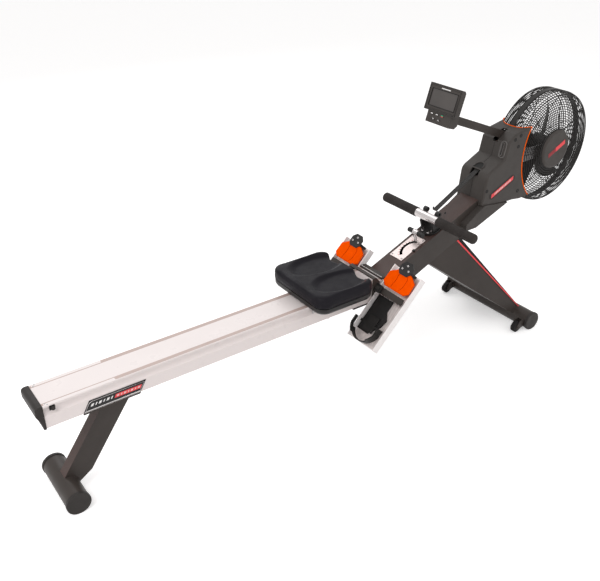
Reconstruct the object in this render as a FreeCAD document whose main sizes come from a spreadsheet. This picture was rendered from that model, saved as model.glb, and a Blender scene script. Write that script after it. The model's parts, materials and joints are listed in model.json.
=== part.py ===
import FreeCAD, Part
import math
import os
import Sketcher

# Rowing machine with an air fan at the front end.
# X runs from the rear end of the rail towards the fan, Y to the rower's left, Z up.
# Lengths are in millimetres and angles in degrees.

V = FreeCAD.Vector
DOC = FreeCAD.newDocument("RowingMachine")
SHEET = DOC.addObject("Spreadsheet::Sheet", "Sizes")

SIZES = {
    # Rail: hollow aluminium extrusion with two steel running strips
    "rail_length": 1300, "rail_width": 124, "rail_height": 78, "rail_top": 400,
    "rail_wall": 4, "rail_lip": 6, "cove_height": 28, "cove_radius": 15.5,
    "strip_width": 11, "strip_thick": 1.5, "strip_inset": 6, "strip_gap": 0.2,
    "cap_depth": 24, "cap_overlap": 2, "cap_round": 12, "cap_foot": 8, "plug_depth": 15,
    "stop_x": 29, "stop_drop": 18, "bolt_radius": 4, "bolt_head": 7, "head_height": 4, "fit_gap": 0.05,
    "plate_x": 113, "plate_length": 185, "plate_slant": 22, "plate_height": 38, "plate_thick": 1.6,
    # Rear leg and foot
    "leg_top_x": 200, "leg_top_depth": 96, "leg_width": 40, "leg_lean": 35.3, "leg_wall": 3,
    "flange_thick": 6, "flange_x": 113, "flange_length": 185, "flange_bolt_inset": 18,
    "foot_radius": 38, "foot_wall": 2.5, "cap_rim": 2, "cap_thick": 12, "cap_insert": 18,
    "rear_foot_x": 36, "rear_foot_half": 101, "leg_chamfer": 30,
    # Joint between rail and main frame
    "joint_thick": 10, "joint_lip": 4, "joint_margin": 2, "sill_depth": 20, "sill_height": 7, "saddle_length": 150, "saddle_thick": 7,
    # Main frame
    "frame_slope": 23, "frame_drop": 11, "frame_depth": 99, "frame_width": 92, "frame_wall": 3,
    "frame_length": 684,
    # Front leg and foot
    "front_leg_u": 208, "front_leg_span": 177, "front_leg_spread": 156, "front_leg_wall": 3,
    "front_foot_reach": 695, "front_foot_half": 223, "leg_base_back": 34, "leg_base_front": 22,
    "leg_base_lift": 12,
    # Transport wheels
    "wheel_radius": 23, "wheel_width": 20, "wheel_lift": 1, "wheel_back": 69, "wheel_y": 205,
    "wheel_bore": 5, "fork_thick": 3, "fork_gap": 1.5, "fork_top": 52,
    # Footrests
    "foot_angle": 46, "tray_back": 165, "tray_heel_z": 213, "tray_length": 312, "tray_width": 145,
    "tray_y": 143, "tray_thick": 3, "rim_height": 25, "rim_thick": 4,
    "bed_start": 40, "bed_length": 162, "bed_thick": 8, "bed_inner": 65, "bed_heel": 12, "bed_outer": 32,
    "bed_waist": 10, "bed_wide": 77, "bed_narrow": 106, "heel_start": 16, "heel_in": 16, "runner_width": 50, "heel_low": 20, "heel_length": 62, "heel_width": 126, "heel_height": 32,
    "heel_wall": 5, "heel_gap": 0.1, "cross_u": 190, "cross_w": 27, "cross_width": 24,
    "cross_thick": 5, "cross_half": 206, "arch_back": 67, "arch_depth": 14, "arch_top": 423,
    "pad_start": 225, "pad_length": 78, "pad_width": 132, "pad_thick": 9, "pad_gap": 0.3,
    "toe_width": 60, "toe_length": 52, "toe_thick": 4, "toe_lift": 37, "toe_u": 288, "stay_thick": 5,
    "stay_gap": 3, "cross_tube_radius": 15, "cross_tube_wall": 2.5,
    "cross_tube_back": 40, "cross_tube_half": 175, "bracket_width": 44, "bracket_length": 70,
    # Seat, its middle counted back from the rail's front end
    "seat_x": 248, "pad_depth": 249, "seat_width": 314, "pad_base": 420.4, "seat_top": 474.6,
    "seat_round": 46, "seat_edge": 11, "pan_inset": 18, "pan_thick": 3, "pan_skirt": 26,
    "carriage_length": 190, "carriage_gap": 3, "carriage_wall": 3, "carriage_drop": 16,
    "roller_radius": 11, "roller_width": 10, "roller_x": 72, "roller_gap": 0.1, "axle_radius": 4,
    "shoe_length": 24, "shoe_drop": 12, "shoe_height": 8, "shoe_reach": 8,
    # Handle, cradle and strap
    "handle_u": 293, "handle_w": 60.4, "handle_half": 245, "bar_radius": 14, "sleeve_radius": 17,
    "sleeve_half": 55, "grip_radius": 19, "grip_end": 7, "strap_rise": 28.3, "clamp_start": 15,
    "clamp_end": 36, "clamp_width": 38, "clamp_thick": 9, "strap_width": 34, "strap_thick": 2,
    "cradle_radius": 42, "cradle_thick": 8, "hook_y": 28, "hook_thick": 8, "hook_gap": 0.5,
    "hook_wall": 8, "tip_radius": 10.3, "tip_inner": 24, "tip_outer": 40, "tip_ahead": 26.9, "tip_above": 7,
    "tip_bore": 5, "tip_bore_depth": 6, "cradle_bolt_ring": 28, "cradle_bolt_radius": 4.5, "cradle_bolt_head": 3,
    # Resistance lever and its scale plate
    "scale_u": 101, "scale_length": 130, "scale_width": 66, "scale_thick": 2, "scale_slope": 8,
    "slot_radius": 50, "slot_angle": 57, "slot_half": 5.5, "lever_pivot_y": 35, "lever_angle": 50,
    "stem_radius": 4, "stem_height": 41, "lever_arm_half": 8, "lever_arm_thick": 4,
    "lever_arm_gap": 1, "tee_half": 38, "tee_radius": 9.5, "lever_bolt": 5,
    # Fan, cage and guards
    "fan_reach": 867.5, "fan_drop": 32.2, "house_ahead": 6.5, "house_below": 4, "cage_radius": 228.5, "cage_half": 54.5, "band_half": 10,
    "band_thick": 3, "wire": 4, "guard_rise": 18, "guard_inner": 76, "far_inner": 30, "far_cap_radius": 34, "guard_rings": 3, "guard_turn": 4,
    "guard_ribs": 10, "hub_cap_radius": 80, "hub_cap_thick": 9, "hub_cap_round": 5,
    "fan_hub_radius": 70, "fan_hub_half": 37, "blade_tip": 202, "blade_half": 34,
    "blade_thick": 3, "blade_count": 5, "blade_pitch": -25, "fan_axle_radius": 10, "axle_half": 72.5,
    "axle_nut": 15, "axle_nut_thick": 8,
    # Fork plates, strap drum and belt inside the housing
    "fork_plate": 4, "drum_along": 386, "drum_radius": 30, "drum_half": 19, "drum_flange": 32,
    "drum_shaft": 8, "pulley_y": 41, "pulley_width": 5, "drum_pulley": 30, "fan_pulley": 20,
    "belt_gap": 0.3, "belt_thick": 2.5,
    # Housing
    "housing_half": 70, "housing_wall": 3, "housing_round": 8, "nose_back": 404, "nose_base": -147,
    "nose_foot_back": 393, "nose_foot": -170, "nose_shoulder_back": 394.4, "nose_shoulder": -44,
    "nose_radius": 34, "nose_top_back": 375, "nose_top": -16.5, "nose_corner_back": 392.6, "nose_corner": -24.9, "block_foot_back": 304,
    "block_foot": 18, "block_head_back": 291, "block_head": 83, "block_top_back": 253,
    "block_top": 111, "cheek_top_back": 171, "cheek_top": 127, "cheek_radius": 255,
    "cheek_foot_back": 134, "cheek_foot": -166, "belly_front_back": 187, "belly_front": -174,
    "belly_back": 224, "belly": -169, "mouth_radius": 77, "mouth_back": 216, "trim_width": 4,
    "trim_proud": 1.2, "frame_gap": 0.3, "cage_gap": 3, "screw_radius": 4, "screw_proud": 1,
    "fairing_half": 75, "fairing_wall": 3,
    # Monitor and its arm
    "arm_back": 253, "arm_lift": 93, "arm_rise": 21.5, "arm_length": 316, "arm_height": 30,
    "arm_width": 20, "arm_wall": 2, "pin_radius": 5, "ear_thick": 4, "ear_gap": 0.6,
    "monitor_tilt": 17.1, "hinge_depth": 80, "hinge_drop": 12, "case_width": 156,
    "case_height": 96, "case_thick": 22, "screen_width": 126, "screen_height": 59,
    "screen_recess": 1.5, "screen_thick": 2, "bump_depth": 18, "keybox_width": 114,
    "keybox_height": 41, "keybox_inset": 4, "keybox_depth": 46, "key_width": 14,
    "key_height": 7, "key_pitch": 25.6, "key_shift": 4.2, "key_travel": 1.5, "key_depth": 5, "key_gap": 0.3,
}


class Size:
    """A number together with the sheet expression that gives it."""

    def __init__(self, value, text):
        self.value = float(value)
        self.text = text

    def _join(self, other, sign, value, swap=False):
        other_text = other.text if isinstance(other, Size) else repr(other)
        first, second = (other_text, self.text) if swap else (self.text, other_text)
        return Size(value, "(%s %s %s)" % (first, sign, second))

    def __add__(self, other):
        return self._join(other, "+", self.value + number(other))

    def __radd__(self, other):
        return self._join(other, "+", number(other) + self.value, swap=True)

    def __sub__(self, other):
        return self._join(other, "-", self.value - number(other))

    def __rsub__(self, other):
        return self._join(other, "-", number(other) - self.value, swap=True)

    def __mul__(self, other):
        return self._join(other, "*", self.value * number(other))

    def __rmul__(self, other):
        return self._join(other, "*", number(other) * self.value, swap=True)

    def __truediv__(self, other):
        return self._join(other, "/", self.value / number(other))

    def __rtruediv__(self, other):
        return self._join(other, "/", number(other) / self.value, swap=True)

    def __neg__(self):
        return Size(-self.value, "(0 - %s)" % self.text)


def number(size):
    return size.value if isinstance(size, Size) else float(size)


def text(size):
    return size.text if isinstance(size, Size) else repr(float(size))


def sin(angle):
    return Size(math.sin(math.radians(number(angle))), "sin(%s)" % text(angle))


def cos(angle):
    return Size(math.cos(math.radians(number(angle))), "cos(%s)" % text(angle))


def tan(angle):
    return Size(math.tan(math.radians(number(angle))), "tan(%s)" % text(angle))


class Names:
    """Gives each cell of the sheet as a Size under its alias."""


s = Names()
for row, (alias, value) in enumerate(SIZES.items(), start=1):
    SHEET.set("A%d" % row, alias)
    SHEET.set("B%d" % row, str(value))
    SHEET.setAlias("B%d" % row, alias)
    setattr(s, alias, Size(value, "Sizes." + alias))
DOC.recompute()

# Places that several sub-parts share
RAIL_BOTTOM = s.rail_top - s.rail_height
RAIL_HALF = s.rail_width / 2
SEAT_X = s.rail_length - s.seat_x
FRAME_X = s.rail_length + s.joint_thick
FRAME_Z = s.rail_top - s.frame_drop
FAN_X = FRAME_X + s.fan_reach
FAN_Z = FRAME_Z + tan(s.frame_slope) * s.fan_reach - s.fan_drop
HOUSE_X = FAN_X + s.house_ahead
HOUSE_Z = FAN_Z - s.house_below
FRONT_FOOT_X = FRAME_X + s.front_foot_reach
ORIGIN_X = (FAN_X + s.cage_radius - s.cap_depth) / 2
NODES = []


# ---------------------------------------------------------------- helpers

def bind(obj, name, size):
    obj.setExpression(name, text(size))


def put(obj, x, y, z, axis=(0, -1, 0), angle=None):
    """Place an object; x counts from the rear end of the rail."""
    turn = FreeCAD.Rotation(V(*axis), number(angle)) if angle is not None else obj.Placement.Rotation
    obj.Placement = FreeCAD.Placement(V(0, 0, 0), turn)
    bind(obj, "Placement.Base.x", x - ORIGIN_X)
    bind(obj, "Placement.Base.y", y)
    bind(obj, "Placement.Base.z", z)
    if isinstance(angle, Size):
        bind(obj, "Placement.Rotation.Angle", angle)
    return obj


def on_slope(u, w, start_x, start_z, angle):
    """Point u along a slope and w above it."""
    return start_x + u * cos(angle) - w * sin(angle), start_z + u * sin(angle) + w * cos(angle)


def on_frame(u, w):
    return on_slope(u, w, FRAME_X, FRAME_Z, s.frame_slope)


def node(obj, label):
    """Make an object a sub-part that is written to its own file."""
    obj.Label = label
    NODES.append(obj)
    return obj


def block(name, length, width, height):
    obj = DOC.addObject("Part::Box", name)
    bind(obj, "Length", length)
    bind(obj, "Width", width)
    bind(obj, "Height", height)
    return obj


ALONG = {"x": ((0, 1, 0), 90), "y": ((1, 0, 0), -90), "z": ((0, 0, 1), 0)}


def rod(name, radius, length, along="y"):
    obj = DOC.addObject("Part::Cylinder", name)
    bind(obj, "Radius", radius)
    bind(obj, "Height", length)
    axis, angle = ALONG[along]
    obj.Placement = FreeCAD.Placement(V(0, 0, 0), FreeCAD.Rotation(V(*axis), angle))
    return obj


def cross_rod(name, radius, x, z, low_y, high_y):
    """Cylinder along Y between two values of y."""
    return put(rod(name, radius, high_y - low_y), x, low_y, z)


def fuse(name, *shapes):
    obj = DOC.addObject("Part::MultiFuse", name)
    obj.Shapes = list(shapes)
    return obj


def group(name, *shapes):
    obj = DOC.addObject("Part::Compound", name)
    obj.Links = list(shapes)
    return obj


def cut(name, base, *tools):
    tool = tools[0] if len(tools) == 1 else fuse(name + "Tools", *tools)
    obj = DOC.addObject("Part::Cut", name)
    obj.Base = base
    obj.Tool = tool
    return obj


def mirrored(name, source):
    """Copy on the other side of the centre plane."""
    obj = DOC.addObject("Part::Mirroring", name)
    obj.Source = source
    obj.Base = V(0, 0, 0)
    obj.Normal = V(0, 1, 0)
    return obj


def origin_part(body, role):
    return [f for f in body.Origin.OriginFeatures if f.Role == role][0]


def arc_between(start, end, radius):
    """Arc from start to end; a positive radius turns anticlockwise. Also tells if it is reversed."""
    dx, dy = end[0] - start[0], end[1] - start[1]
    chord = math.hypot(dx, dy)
    rise = math.sqrt(max(radius * radius - chord * chord / 4, 0.0)) * (1 if radius > 0 else -1)
    cx = (start[0] + end[0]) / 2 - dy / chord * rise
    cy = (start[1] + end[1]) / 2 + dx / chord * rise
    first = math.atan2(start[1] - cy, start[0] - cx)
    last = math.atan2(end[1] - cy, end[0] - cx)
    circle = Part.Circle(V(cx, cy, 0), V(0, 0, 1), abs(radius))
    if radius > 0:
        return Part.ArcOfCircle(circle, first, last), False
    return Part.ArcOfCircle(circle, last, first), True


def sketch(body, plane, name, *loops):
    """Constrained sketch on an origin plane.

    A loop is a list of corners (x, y) or (x, y, radius); a radius makes the stretch that leaves
    the corner an arc. A loop of one corner with a radius is a circle.
    """
    obj = body.newObject("Sketcher::SketchObject", name)
    obj.AttachmentSupport = (origin_part(body, plane), [""])
    obj.MapMode = "FlatFace"
    rules = []
    names = []

    def rule(label, size, *parts):
        rules.append(Sketcher.Constraint(*parts, number(size)))
        names.append((len(rules) - 1, label, size))

    count = 0
    for loop in loops:
        if len(loop) == 1:
            x, y, radius = loop[0]
            obj.addGeometry(Part.Circle(V(number(x), number(y), 0), V(0, 0, 1), number(radius)), False)
            rule("x%d" % count, x, "DistanceX", -1, 1, count, 3)
            rule("y%d" % count, y, "DistanceY", -1, 1, count, 3)
            rule("r%d" % count, radius, "Radius", count)
            count += 1
            continue
        first = count
        ends = []
        for i, corner in enumerate(loop):
            after = loop[(i + 1) % len(loop)]
            start = (number(corner[0]), number(corner[1]))
            end = (number(after[0]), number(after[1]))
            if len(corner) == 3:
                arc, flipped = arc_between(start, end, number(corner[2]))
                obj.addGeometry(arc, False)
                ends.append((2, 1) if flipped else (1, 2))
            else:
                obj.addGeometry(Part.LineSegment(V(*start, 0), V(*end, 0)), False)
                ends.append((1, 2))
            count += 1
        for i, corner in enumerate(loop):
            this, after = first + i, first + (i + 1) % len(loop)
            begin = ends[i][0]
            rules.append(Sketcher.Constraint("Coincident", this, ends[i][1], after,
                                             ends[(i + 1) % len(loop)][0]))
            rule("x%d" % this, corner[0], "DistanceX", -1, 1, this, begin)
            rule("y%d" % this, corner[1], "DistanceY", -1, 1, this, begin)
            if len(corner) == 3:
                radius = corner[2] if number(corner[2]) > 0 else -1 * corner[2]
                rule("r%d" % this, radius, "Radius", this)
    obj.addConstraint(rules)
    for index, label, _ in names:
        obj.renameConstraint(index, label)
    for _, label, size in names:
        if isinstance(size, Size):
            bind(obj, "Constraints." + label, size)
    return obj


def prism(name, plane, length, *loops):
    """Body padded from one sketch: XZ pads towards -Y, YZ towards +X, XY towards +Z."""
    body = DOC.addObject("PartDesign::Body", name)
    profile = sketch(body, plane + "_Plane", name + "Profile", *loops)
    pad = body.newObject("PartDesign::Pad", name + "Pad")
    pad.Profile = profile
    bind(pad, "Length", length)
    body.Tip = pad
    return body


def side_prism(name, half_width, *loops):
    """Prism with its outline in the XZ plane, centred on the centre plane."""
    body = prism(name, "XZ", 2 * half_width, *loops)
    return put(body, 0, half_width, 0)


def pocket(body, name, plane, depth, *loops):
    """Cut a pocket in the direction in which the first pad went."""
    DOC.recompute()
    before = body.Shape.Volume
    profile = sketch(body, plane + "_Plane", name + "Profile", *loops)
    obj = body.newObject("PartDesign::Pocket", name)
    obj.Profile = profile
    obj.Reversed = True
    bind(obj, "Length", depth)
    body.Tip = obj
    DOC.recompute()
    if body.Shape.Volume >= before:
        raise ValueError(name + " cuts nothing")
    return body


def revolved(name, *loops):
    """Body turned about Y; a loop's corners are (y, radius)."""
    body = DOC.addObject("PartDesign::Body", name)
    profile = sketch(body, "YZ_Plane", name + "Profile", *loops)
    turn = body.newObject("PartDesign::Revolution", name + "Turn")
    turn.Profile = profile
    turn.ReferenceAxis = (profile, ["H_Axis"])
    turn.Angle = 360
    body.Tip = turn
    return body


def round_edges(body, name, radius, pick):
    """Fillet the edges that pick accepts."""
    DOC.recompute()
    base = body.Tip
    chosen = ["Edge%d" % (i + 1) for i, edge in enumerate(base.Shape.Edges) if pick(edge)]
    if not chosen:
        raise ValueError(name + " finds no edge")
    obj = body.newObject("PartDesign::Fillet", name)
    obj.Base = (base, chosen)
    bind(obj, "Radius", radius)
    body.Tip = obj
    return body


def flat_at(axis, value):
    """Pick for edges that lie in one plane of the body's own frame."""
    def pick(edge):
        box = edge.BoundBox
        low, high = {"x": (box.XMin, box.XMax), "y": (box.YMin, box.YMax), "z": (box.ZMin, box.ZMax)}[axis]
        return abs(low - number(value)) < 0.01 and abs(high - number(value)) < 0.01
    return pick


def polar(body, name, feature, count):
    """Repeat a feature of a body round its Y axis."""
    obj = body.newObject("PartDesign::PolarPattern", name)
    obj.Originals = [feature]
    obj.Axis = (origin_part(body, "Y_Axis"), [""])
    obj.Angle = 360
    bind(obj, "Occurrences", count)
    body.Tip = obj
    return body


# ---------------------------------------------------------------- rail

def make_rail():
    half, height, lip = RAIL_HALF, s.rail_height, s.rail_lip
    cove_low = height - lip - s.cove_height
    slot = s.strip_width + 2 * s.strip_gap
    slot_floor = height - s.strip_thick
    outer = half - s.strip_inset + s.strip_gap
    wall = s.rail_wall
    neck = half - 3 * wall - 2
    outline = [
        (-half, 0 * half), (half, 0 * half), (half, cove_low, -s.cove_radius), (half, height - lip),
        (half, height), (outer, height), (outer, slot_floor), (outer - slot, slot_floor),
        (outer - slot, height), (slot - outer, height), (slot - outer, slot_floor),
        (-outer, slot_floor), (-outer, height), (-half, height),
        (-half, height - lip, -s.cove_radius), (-half, cove_low),
    ]
    inner = [
        (wall - half, wall), (half - wall, wall), (half - wall, cove_low - wall), (neck, cove_low + wall),
        (neck, height - 2 * wall), (-neck, height - 2 * wall), (-neck, cove_low + wall),
        (wall - half, cove_low - wall),
    ]
    body = prism("Rail", "YZ", s.rail_length, outline, inner)
    put(body, 0, 0, RAIL_BOTTOM)
    hole = cross_rod("StopHole", s.bolt_radius + s.fit_gap, s.stop_x, s.rail_top - s.stop_drop,
                     -s.rail_width, s.rail_width)
    node(cut("RailDrilled", body, hole), "rail")

    strips = []
    for side, low in (("Left", half - s.strip_inset - s.strip_width), ("Right", s.strip_inset - half)):
        strip = block("Strip" + side, s.rail_length, s.strip_width, s.strip_thick)
        strips.append(put(strip, 0, low, s.rail_top - s.strip_thick))
    node(group("Strips", *strips), "track_strips")


def make_rear_cap():
    low = RAIL_BOTTOM - s.cap_overlap
    high = s.rail_top + s.cap_overlap
    back = s.cap_round - s.cap_depth
    outline = [
        (0 * low, low), (0 * low, high), (back, high, s.cap_round), (-s.cap_depth, high - s.cap_round),
        (-s.cap_depth, high - 2.5 * s.cap_round, -10 * s.cap_round), (-s.cap_foot, low),
    ]
    shell = side_prism("CapShell", RAIL_HALF + s.cap_overlap, outline)
    sides = (flat_at("y", 0), flat_at("y", -s.rail_width - 2 * s.cap_overlap))
    knee = number(high - 2.5 * s.cap_round)
    round_edges(shell, "CapEdges", s.cap_foot / 2,
                lambda edge: edge.BoundBox.XMax < -1 and edge.BoundBox.ZMin > knee - 0.01
                and (sides[0](edge) or sides[1](edge)))
    room = s.rail_wall + s.strip_gap
    plug_half = RAIL_HALF - 3 * s.rail_wall - 2 - s.strip_gap
    plug = block("CapPlug", s.plug_depth + room, 2 * plug_half, s.rail_height - 2 * s.rail_wall - 2 * room)
    put(plug, -room, -plug_half, RAIL_BOTTOM + room)
    node(fuse("RearCap", shell, plug), "rear_end_cap")


def make_badge_plates():
    x, end = s.plate_x, s.plate_x + s.plate_length
    low, high = RAIL_BOTTOM + s.joint_margin, RAIL_BOTTOM + s.joint_margin + s.plate_height
    outline = [(x, low), (end, low), (end + s.plate_slant, high), (x + s.plate_slant, high)]
    right = prism("BadgeRight", "XZ", s.plate_thick, outline)
    put(right, 0, -RAIL_HALF, 0)
    node(group("Badges", right, mirrored("BadgeLeft", right)), "badge_plates")


# ---------------------------------------------------------------- rear leg

def make_rear_leg():
    top = RAIL_BOTTOM - s.flange_thick
    lean = tan(s.leg_lean)
    drop = top - s.foot_radius
    back = s.leg_top_x
    front = s.leg_top_x + s.leg_top_depth

    def tube_outline(inset):
        side = inset / cos(s.leg_lean)
        low = s.foot_radius - 8
        return [
            (back + side - lean * drop, s.foot_radius + 0 * inset),
            (back + side - lean * drop + 8, low),
            (front - side - s.leg_chamfer - lean * (top - low), low),
            (front - side - lean * (drop - s.leg_chamfer), s.foot_radius + s.leg_chamfer),
            (front - side, top), (back + side, top),
        ]

    outer = side_prism("LegOuter", s.leg_width / 2, tube_outline(0 * s.leg_wall))
    inner = side_prism("LegInner", s.leg_width / 2 - s.leg_wall, tube_outline(s.leg_wall))
    saddle = cross_rod("LegSaddle", s.foot_radius, s.rear_foot_x, s.foot_radius, -s.leg_width, s.leg_width)
    flange = block("Flange", s.flange_length, s.rail_width, s.flange_thick)
    put(flange, s.flange_x, -RAIL_HALF, top)
    tube = cut("LegTube", outer, inner, saddle)
    node(fuse("RearLeg", tube, flange), "rear_leg")


def make_foot(name, x, half, label):
    """Round floor tube and its pair of end caps; each cap has a flat sole on the floor."""
    outer = cross_rod(name + "Outer", s.foot_radius, x, s.foot_radius, -half, half)
    bore = cross_rod(name + "Bore", s.foot_radius - s.foot_wall, x, s.foot_radius, -half - 1, half + 1)
    node(cut(name + "Tube", outer, bore), label + "_foot_tube")

    rim = s.foot_radius + s.cap_rim
    inside = s.foot_radius - s.foot_wall - s.fit_gap
    cap = revolved(name + "Cap", [
        (0 * half, 0 * rim), (0 * half, inside), (s.cap_insert, inside), (s.cap_insert, rim),
        (s.cap_insert + s.cap_thick - s.cap_rim, rim), (s.cap_insert + s.cap_thick, rim - s.cap_rim),
        (s.cap_insert + s.cap_thick, 0 * rim),
    ])
    put(cap, x, half - s.cap_insert, s.foot_radius)
    floor = block(name + "Floor", 2 * rim, 4 * rim, rim)
    put(floor, x - rim, half - 2 * rim, -rim)
    left = cut(name + "CapLeft", cap, floor)
    node(group(name + "Caps", left, mirrored(name + "CapRight", left)), label + "_foot_caps")


# ---------------------------------------------------------------- joint and main frame

def frame_bottom_start():
    return FRAME_Z - s.frame_depth / cos(s.frame_slope)


def make_joint():
    low = frame_bottom_start() - s.joint_lip
    plate = block("JointPlate", s.joint_thick, s.rail_width + 2 * s.joint_margin,
                  s.rail_top + s.joint_lip - low)
    put(plate, s.rail_length, -RAIL_HALF - s.joint_margin, low)
    saddle = block("Saddle", s.saddle_length, s.rail_width, s.saddle_thick)
    put(saddle, s.rail_length - s.saddle_length, -RAIL_HALF, RAIL_BOTTOM - s.saddle_thick)
    gusset = side_prism("Gusset", s.leg_width / 2, [
        (s.rail_length, low), (s.rail_length, RAIL_BOTTOM - s.saddle_thick),
        (s.rail_length - s.saddle_length / 6, RAIL_BOTTOM - s.saddle_thick),
    ])
    sill = block("Sill", s.sill_depth, s.rail_width, s.sill_height)
    put(sill, s.rail_length - s.sill_depth, -RAIL_HALF, s.rail_top)
    node(fuse("Joint", plate, saddle, gusset, sill), "joint_plate")


def make_frame_bolts():
    bolts = []

    def bolt(name, x, y, top):
        head = rod(name + "Head", s.bolt_head, s.head_height, "z")
        put(head, x, y, top - s.head_height)
        bolts.append(head)

    inset = s.flange_bolt_inset
    for i, x in enumerate((s.flange_x + inset, s.flange_x + s.flange_length - inset)):
        for j, y in enumerate((inset - RAIL_HALF, RAIL_HALF - inset)):
            bolt("FlangeBolt%d%d" % (i, j), x, y, RAIL_BOTTOM - s.flange_thick)
    for i, x in enumerate((s.rail_length - s.saddle_length + inset, s.rail_length - 4 * inset)):
        for j, y in enumerate((inset - RAIL_HALF, RAIL_HALF - inset)):
            bolt("SaddleBolt%d%d" % (i, j), x, y, RAIL_BOTTOM - s.saddle_thick)
    # Four bolts on a ring hold the foot of the handle cradle
    for i, turn in enumerate((41.4, 138.6, 221.4, 318.6)):
        head = rod("CradleBolt%d" % i, s.cradle_bolt_radius, s.cradle_bolt_head, "z")
        x, z = on_frame(s.handle_u + s.cradle_bolt_ring * sin(turn), s.cradle_thick)
        bolts.append(put(head, x, s.cradle_bolt_ring * cos(turn), z, angle=s.frame_slope))
    stop = cross_rod("StopBolt", s.bolt_radius, s.stop_x, s.rail_top - s.stop_drop, -RAIL_HALF, RAIL_HALF)
    bolts.append(stop)
    node(group("FrameBolts", *bolts), "frame_bolts")


def make_main_frame():
    half, depth, wall = s.frame_width / 2, s.frame_depth, s.frame_wall
    outer = [(-half, -depth), (half, -depth), (half, 0 * half), (-half, 0 * half)]
    inner = [(wall - half, wall - depth), (half - wall, wall - depth),
             (half - wall, -wall), (wall - half, -wall)]
    lead = depth * tan(s.frame_slope)
    body = prism("FrameTube", "YZ", s.frame_length + lead, outer, inner)
    x, z = on_frame(-lead, 0)
    put(body, x, 0, z, angle=s.frame_slope)
    face = block("FrameFace", 2 * depth, 2 * s.frame_width, 4 * depth)
    put(face, FRAME_X - 2 * depth, -s.frame_width, FRAME_Z - 3 * depth)
    # Window for the lever and the hole for its pivot bolt
    reach = s.slot_radius * sin(s.slot_angle) + 2 * s.slot_half
    window = block("FrameWindow", 2 * reach, s.frame_width / 2 - s.slot_half, 4 * wall)
    x, z = on_frame(lever_u() - reach, -2 * wall)
    put(window, x, s.slot_radius * cos(s.slot_angle) - s.lever_pivot_y - 2 * s.slot_half, z,
        angle=s.frame_slope)
    hole = rod("LeverHole", s.lever_bolt + s.fit_gap, 4 * wall, "z")
    x, z = on_frame(lever_u(), -2 * wall)
    put(hole, x, -s.lever_pivot_y, z, angle=s.frame_slope)
    node(cut("MainFrame", body, face, window, hole), "main_frame")


# ---------------------------------------------------------------- front leg and wheels

def section(name, corners, x, z, angle=None):
    """Closed sketch of a loft in a horizontal plane, or in one that follows a slope."""
    obj = DOC.addObject("Sketcher::SketchObject", name)
    count = len(corners)
    for i in range(count):
        start = V(number(corners[i][0]), number(corners[i][1]), 0)
        end = V(number(corners[(i + 1) % count][0]), number(corners[(i + 1) % count][1]), 0)
        obj.addGeometry(Part.LineSegment(start, end), False)
    rules = []
    for i, (cx, cy) in enumerate(corners):
        rules.append(Sketcher.Constraint("Coincident", i, 2, (i + 1) % count, 1))
        rules.append(Sketcher.Constraint("DistanceX", -1, 1, i, 1, number(cx)))
        rules.append(Sketcher.Constraint("DistanceY", -1, 1, i, 1, number(cy)))
    obj.addConstraint(rules)
    for i, (cx, cy) in enumerate(corners):
        obj.renameConstraint(3 * i + 1, "x%d" % i)
        obj.renameConstraint(3 * i + 2, "y%d" % i)
        bind(obj, "Constraints.x%d" % i, cx)
        bind(obj, "Constraints.y%d" % i, cy)
    return put(obj, x, 0, z, angle=angle)


def tapered_box(name, inset):
    """Box lofted from the underside of the frame down to the front floor tube."""
    top_x, top_z = on_frame(s.front_leg_u, -s.frame_depth)
    half = s.frame_width / 2 - inset
    top = section(name + "Top", [
        (inset, -half), (s.front_leg_span - inset, -half), (s.front_leg_span - inset, half), (inset, half),
    ], top_x, top_z, s.frame_slope)
    base = s.front_leg_spread - inset
    bottom = section(name + "Bottom", [
        (inset - s.leg_base_back, -base), (s.leg_base_front - inset, -base),
        (s.leg_base_front - inset, base), (inset - s.leg_base_back, base),
    ], FRONT_FOOT_X, s.foot_radius + s.leg_base_lift)
    loft = DOC.addObject("Part::Loft", name)
    loft.Sections = [top, bottom]
    loft.Solid = True
    loft.Ruled = True
    return loft


def make_front_leg():
    outer = tapered_box("FrontLegOuter", 0 * s.front_leg_wall)
    inner = tapered_box("FrontLegInner", s.front_leg_wall)
    saddle = cross_rod("FrontLegSaddle", s.foot_radius, FRONT_FOOT_X, s.foot_radius,
                       -2 * s.front_leg_spread, 2 * s.front_leg_spread)
    node(cut("FrontLeg", outer, inner, saddle), "front_leg")


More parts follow.
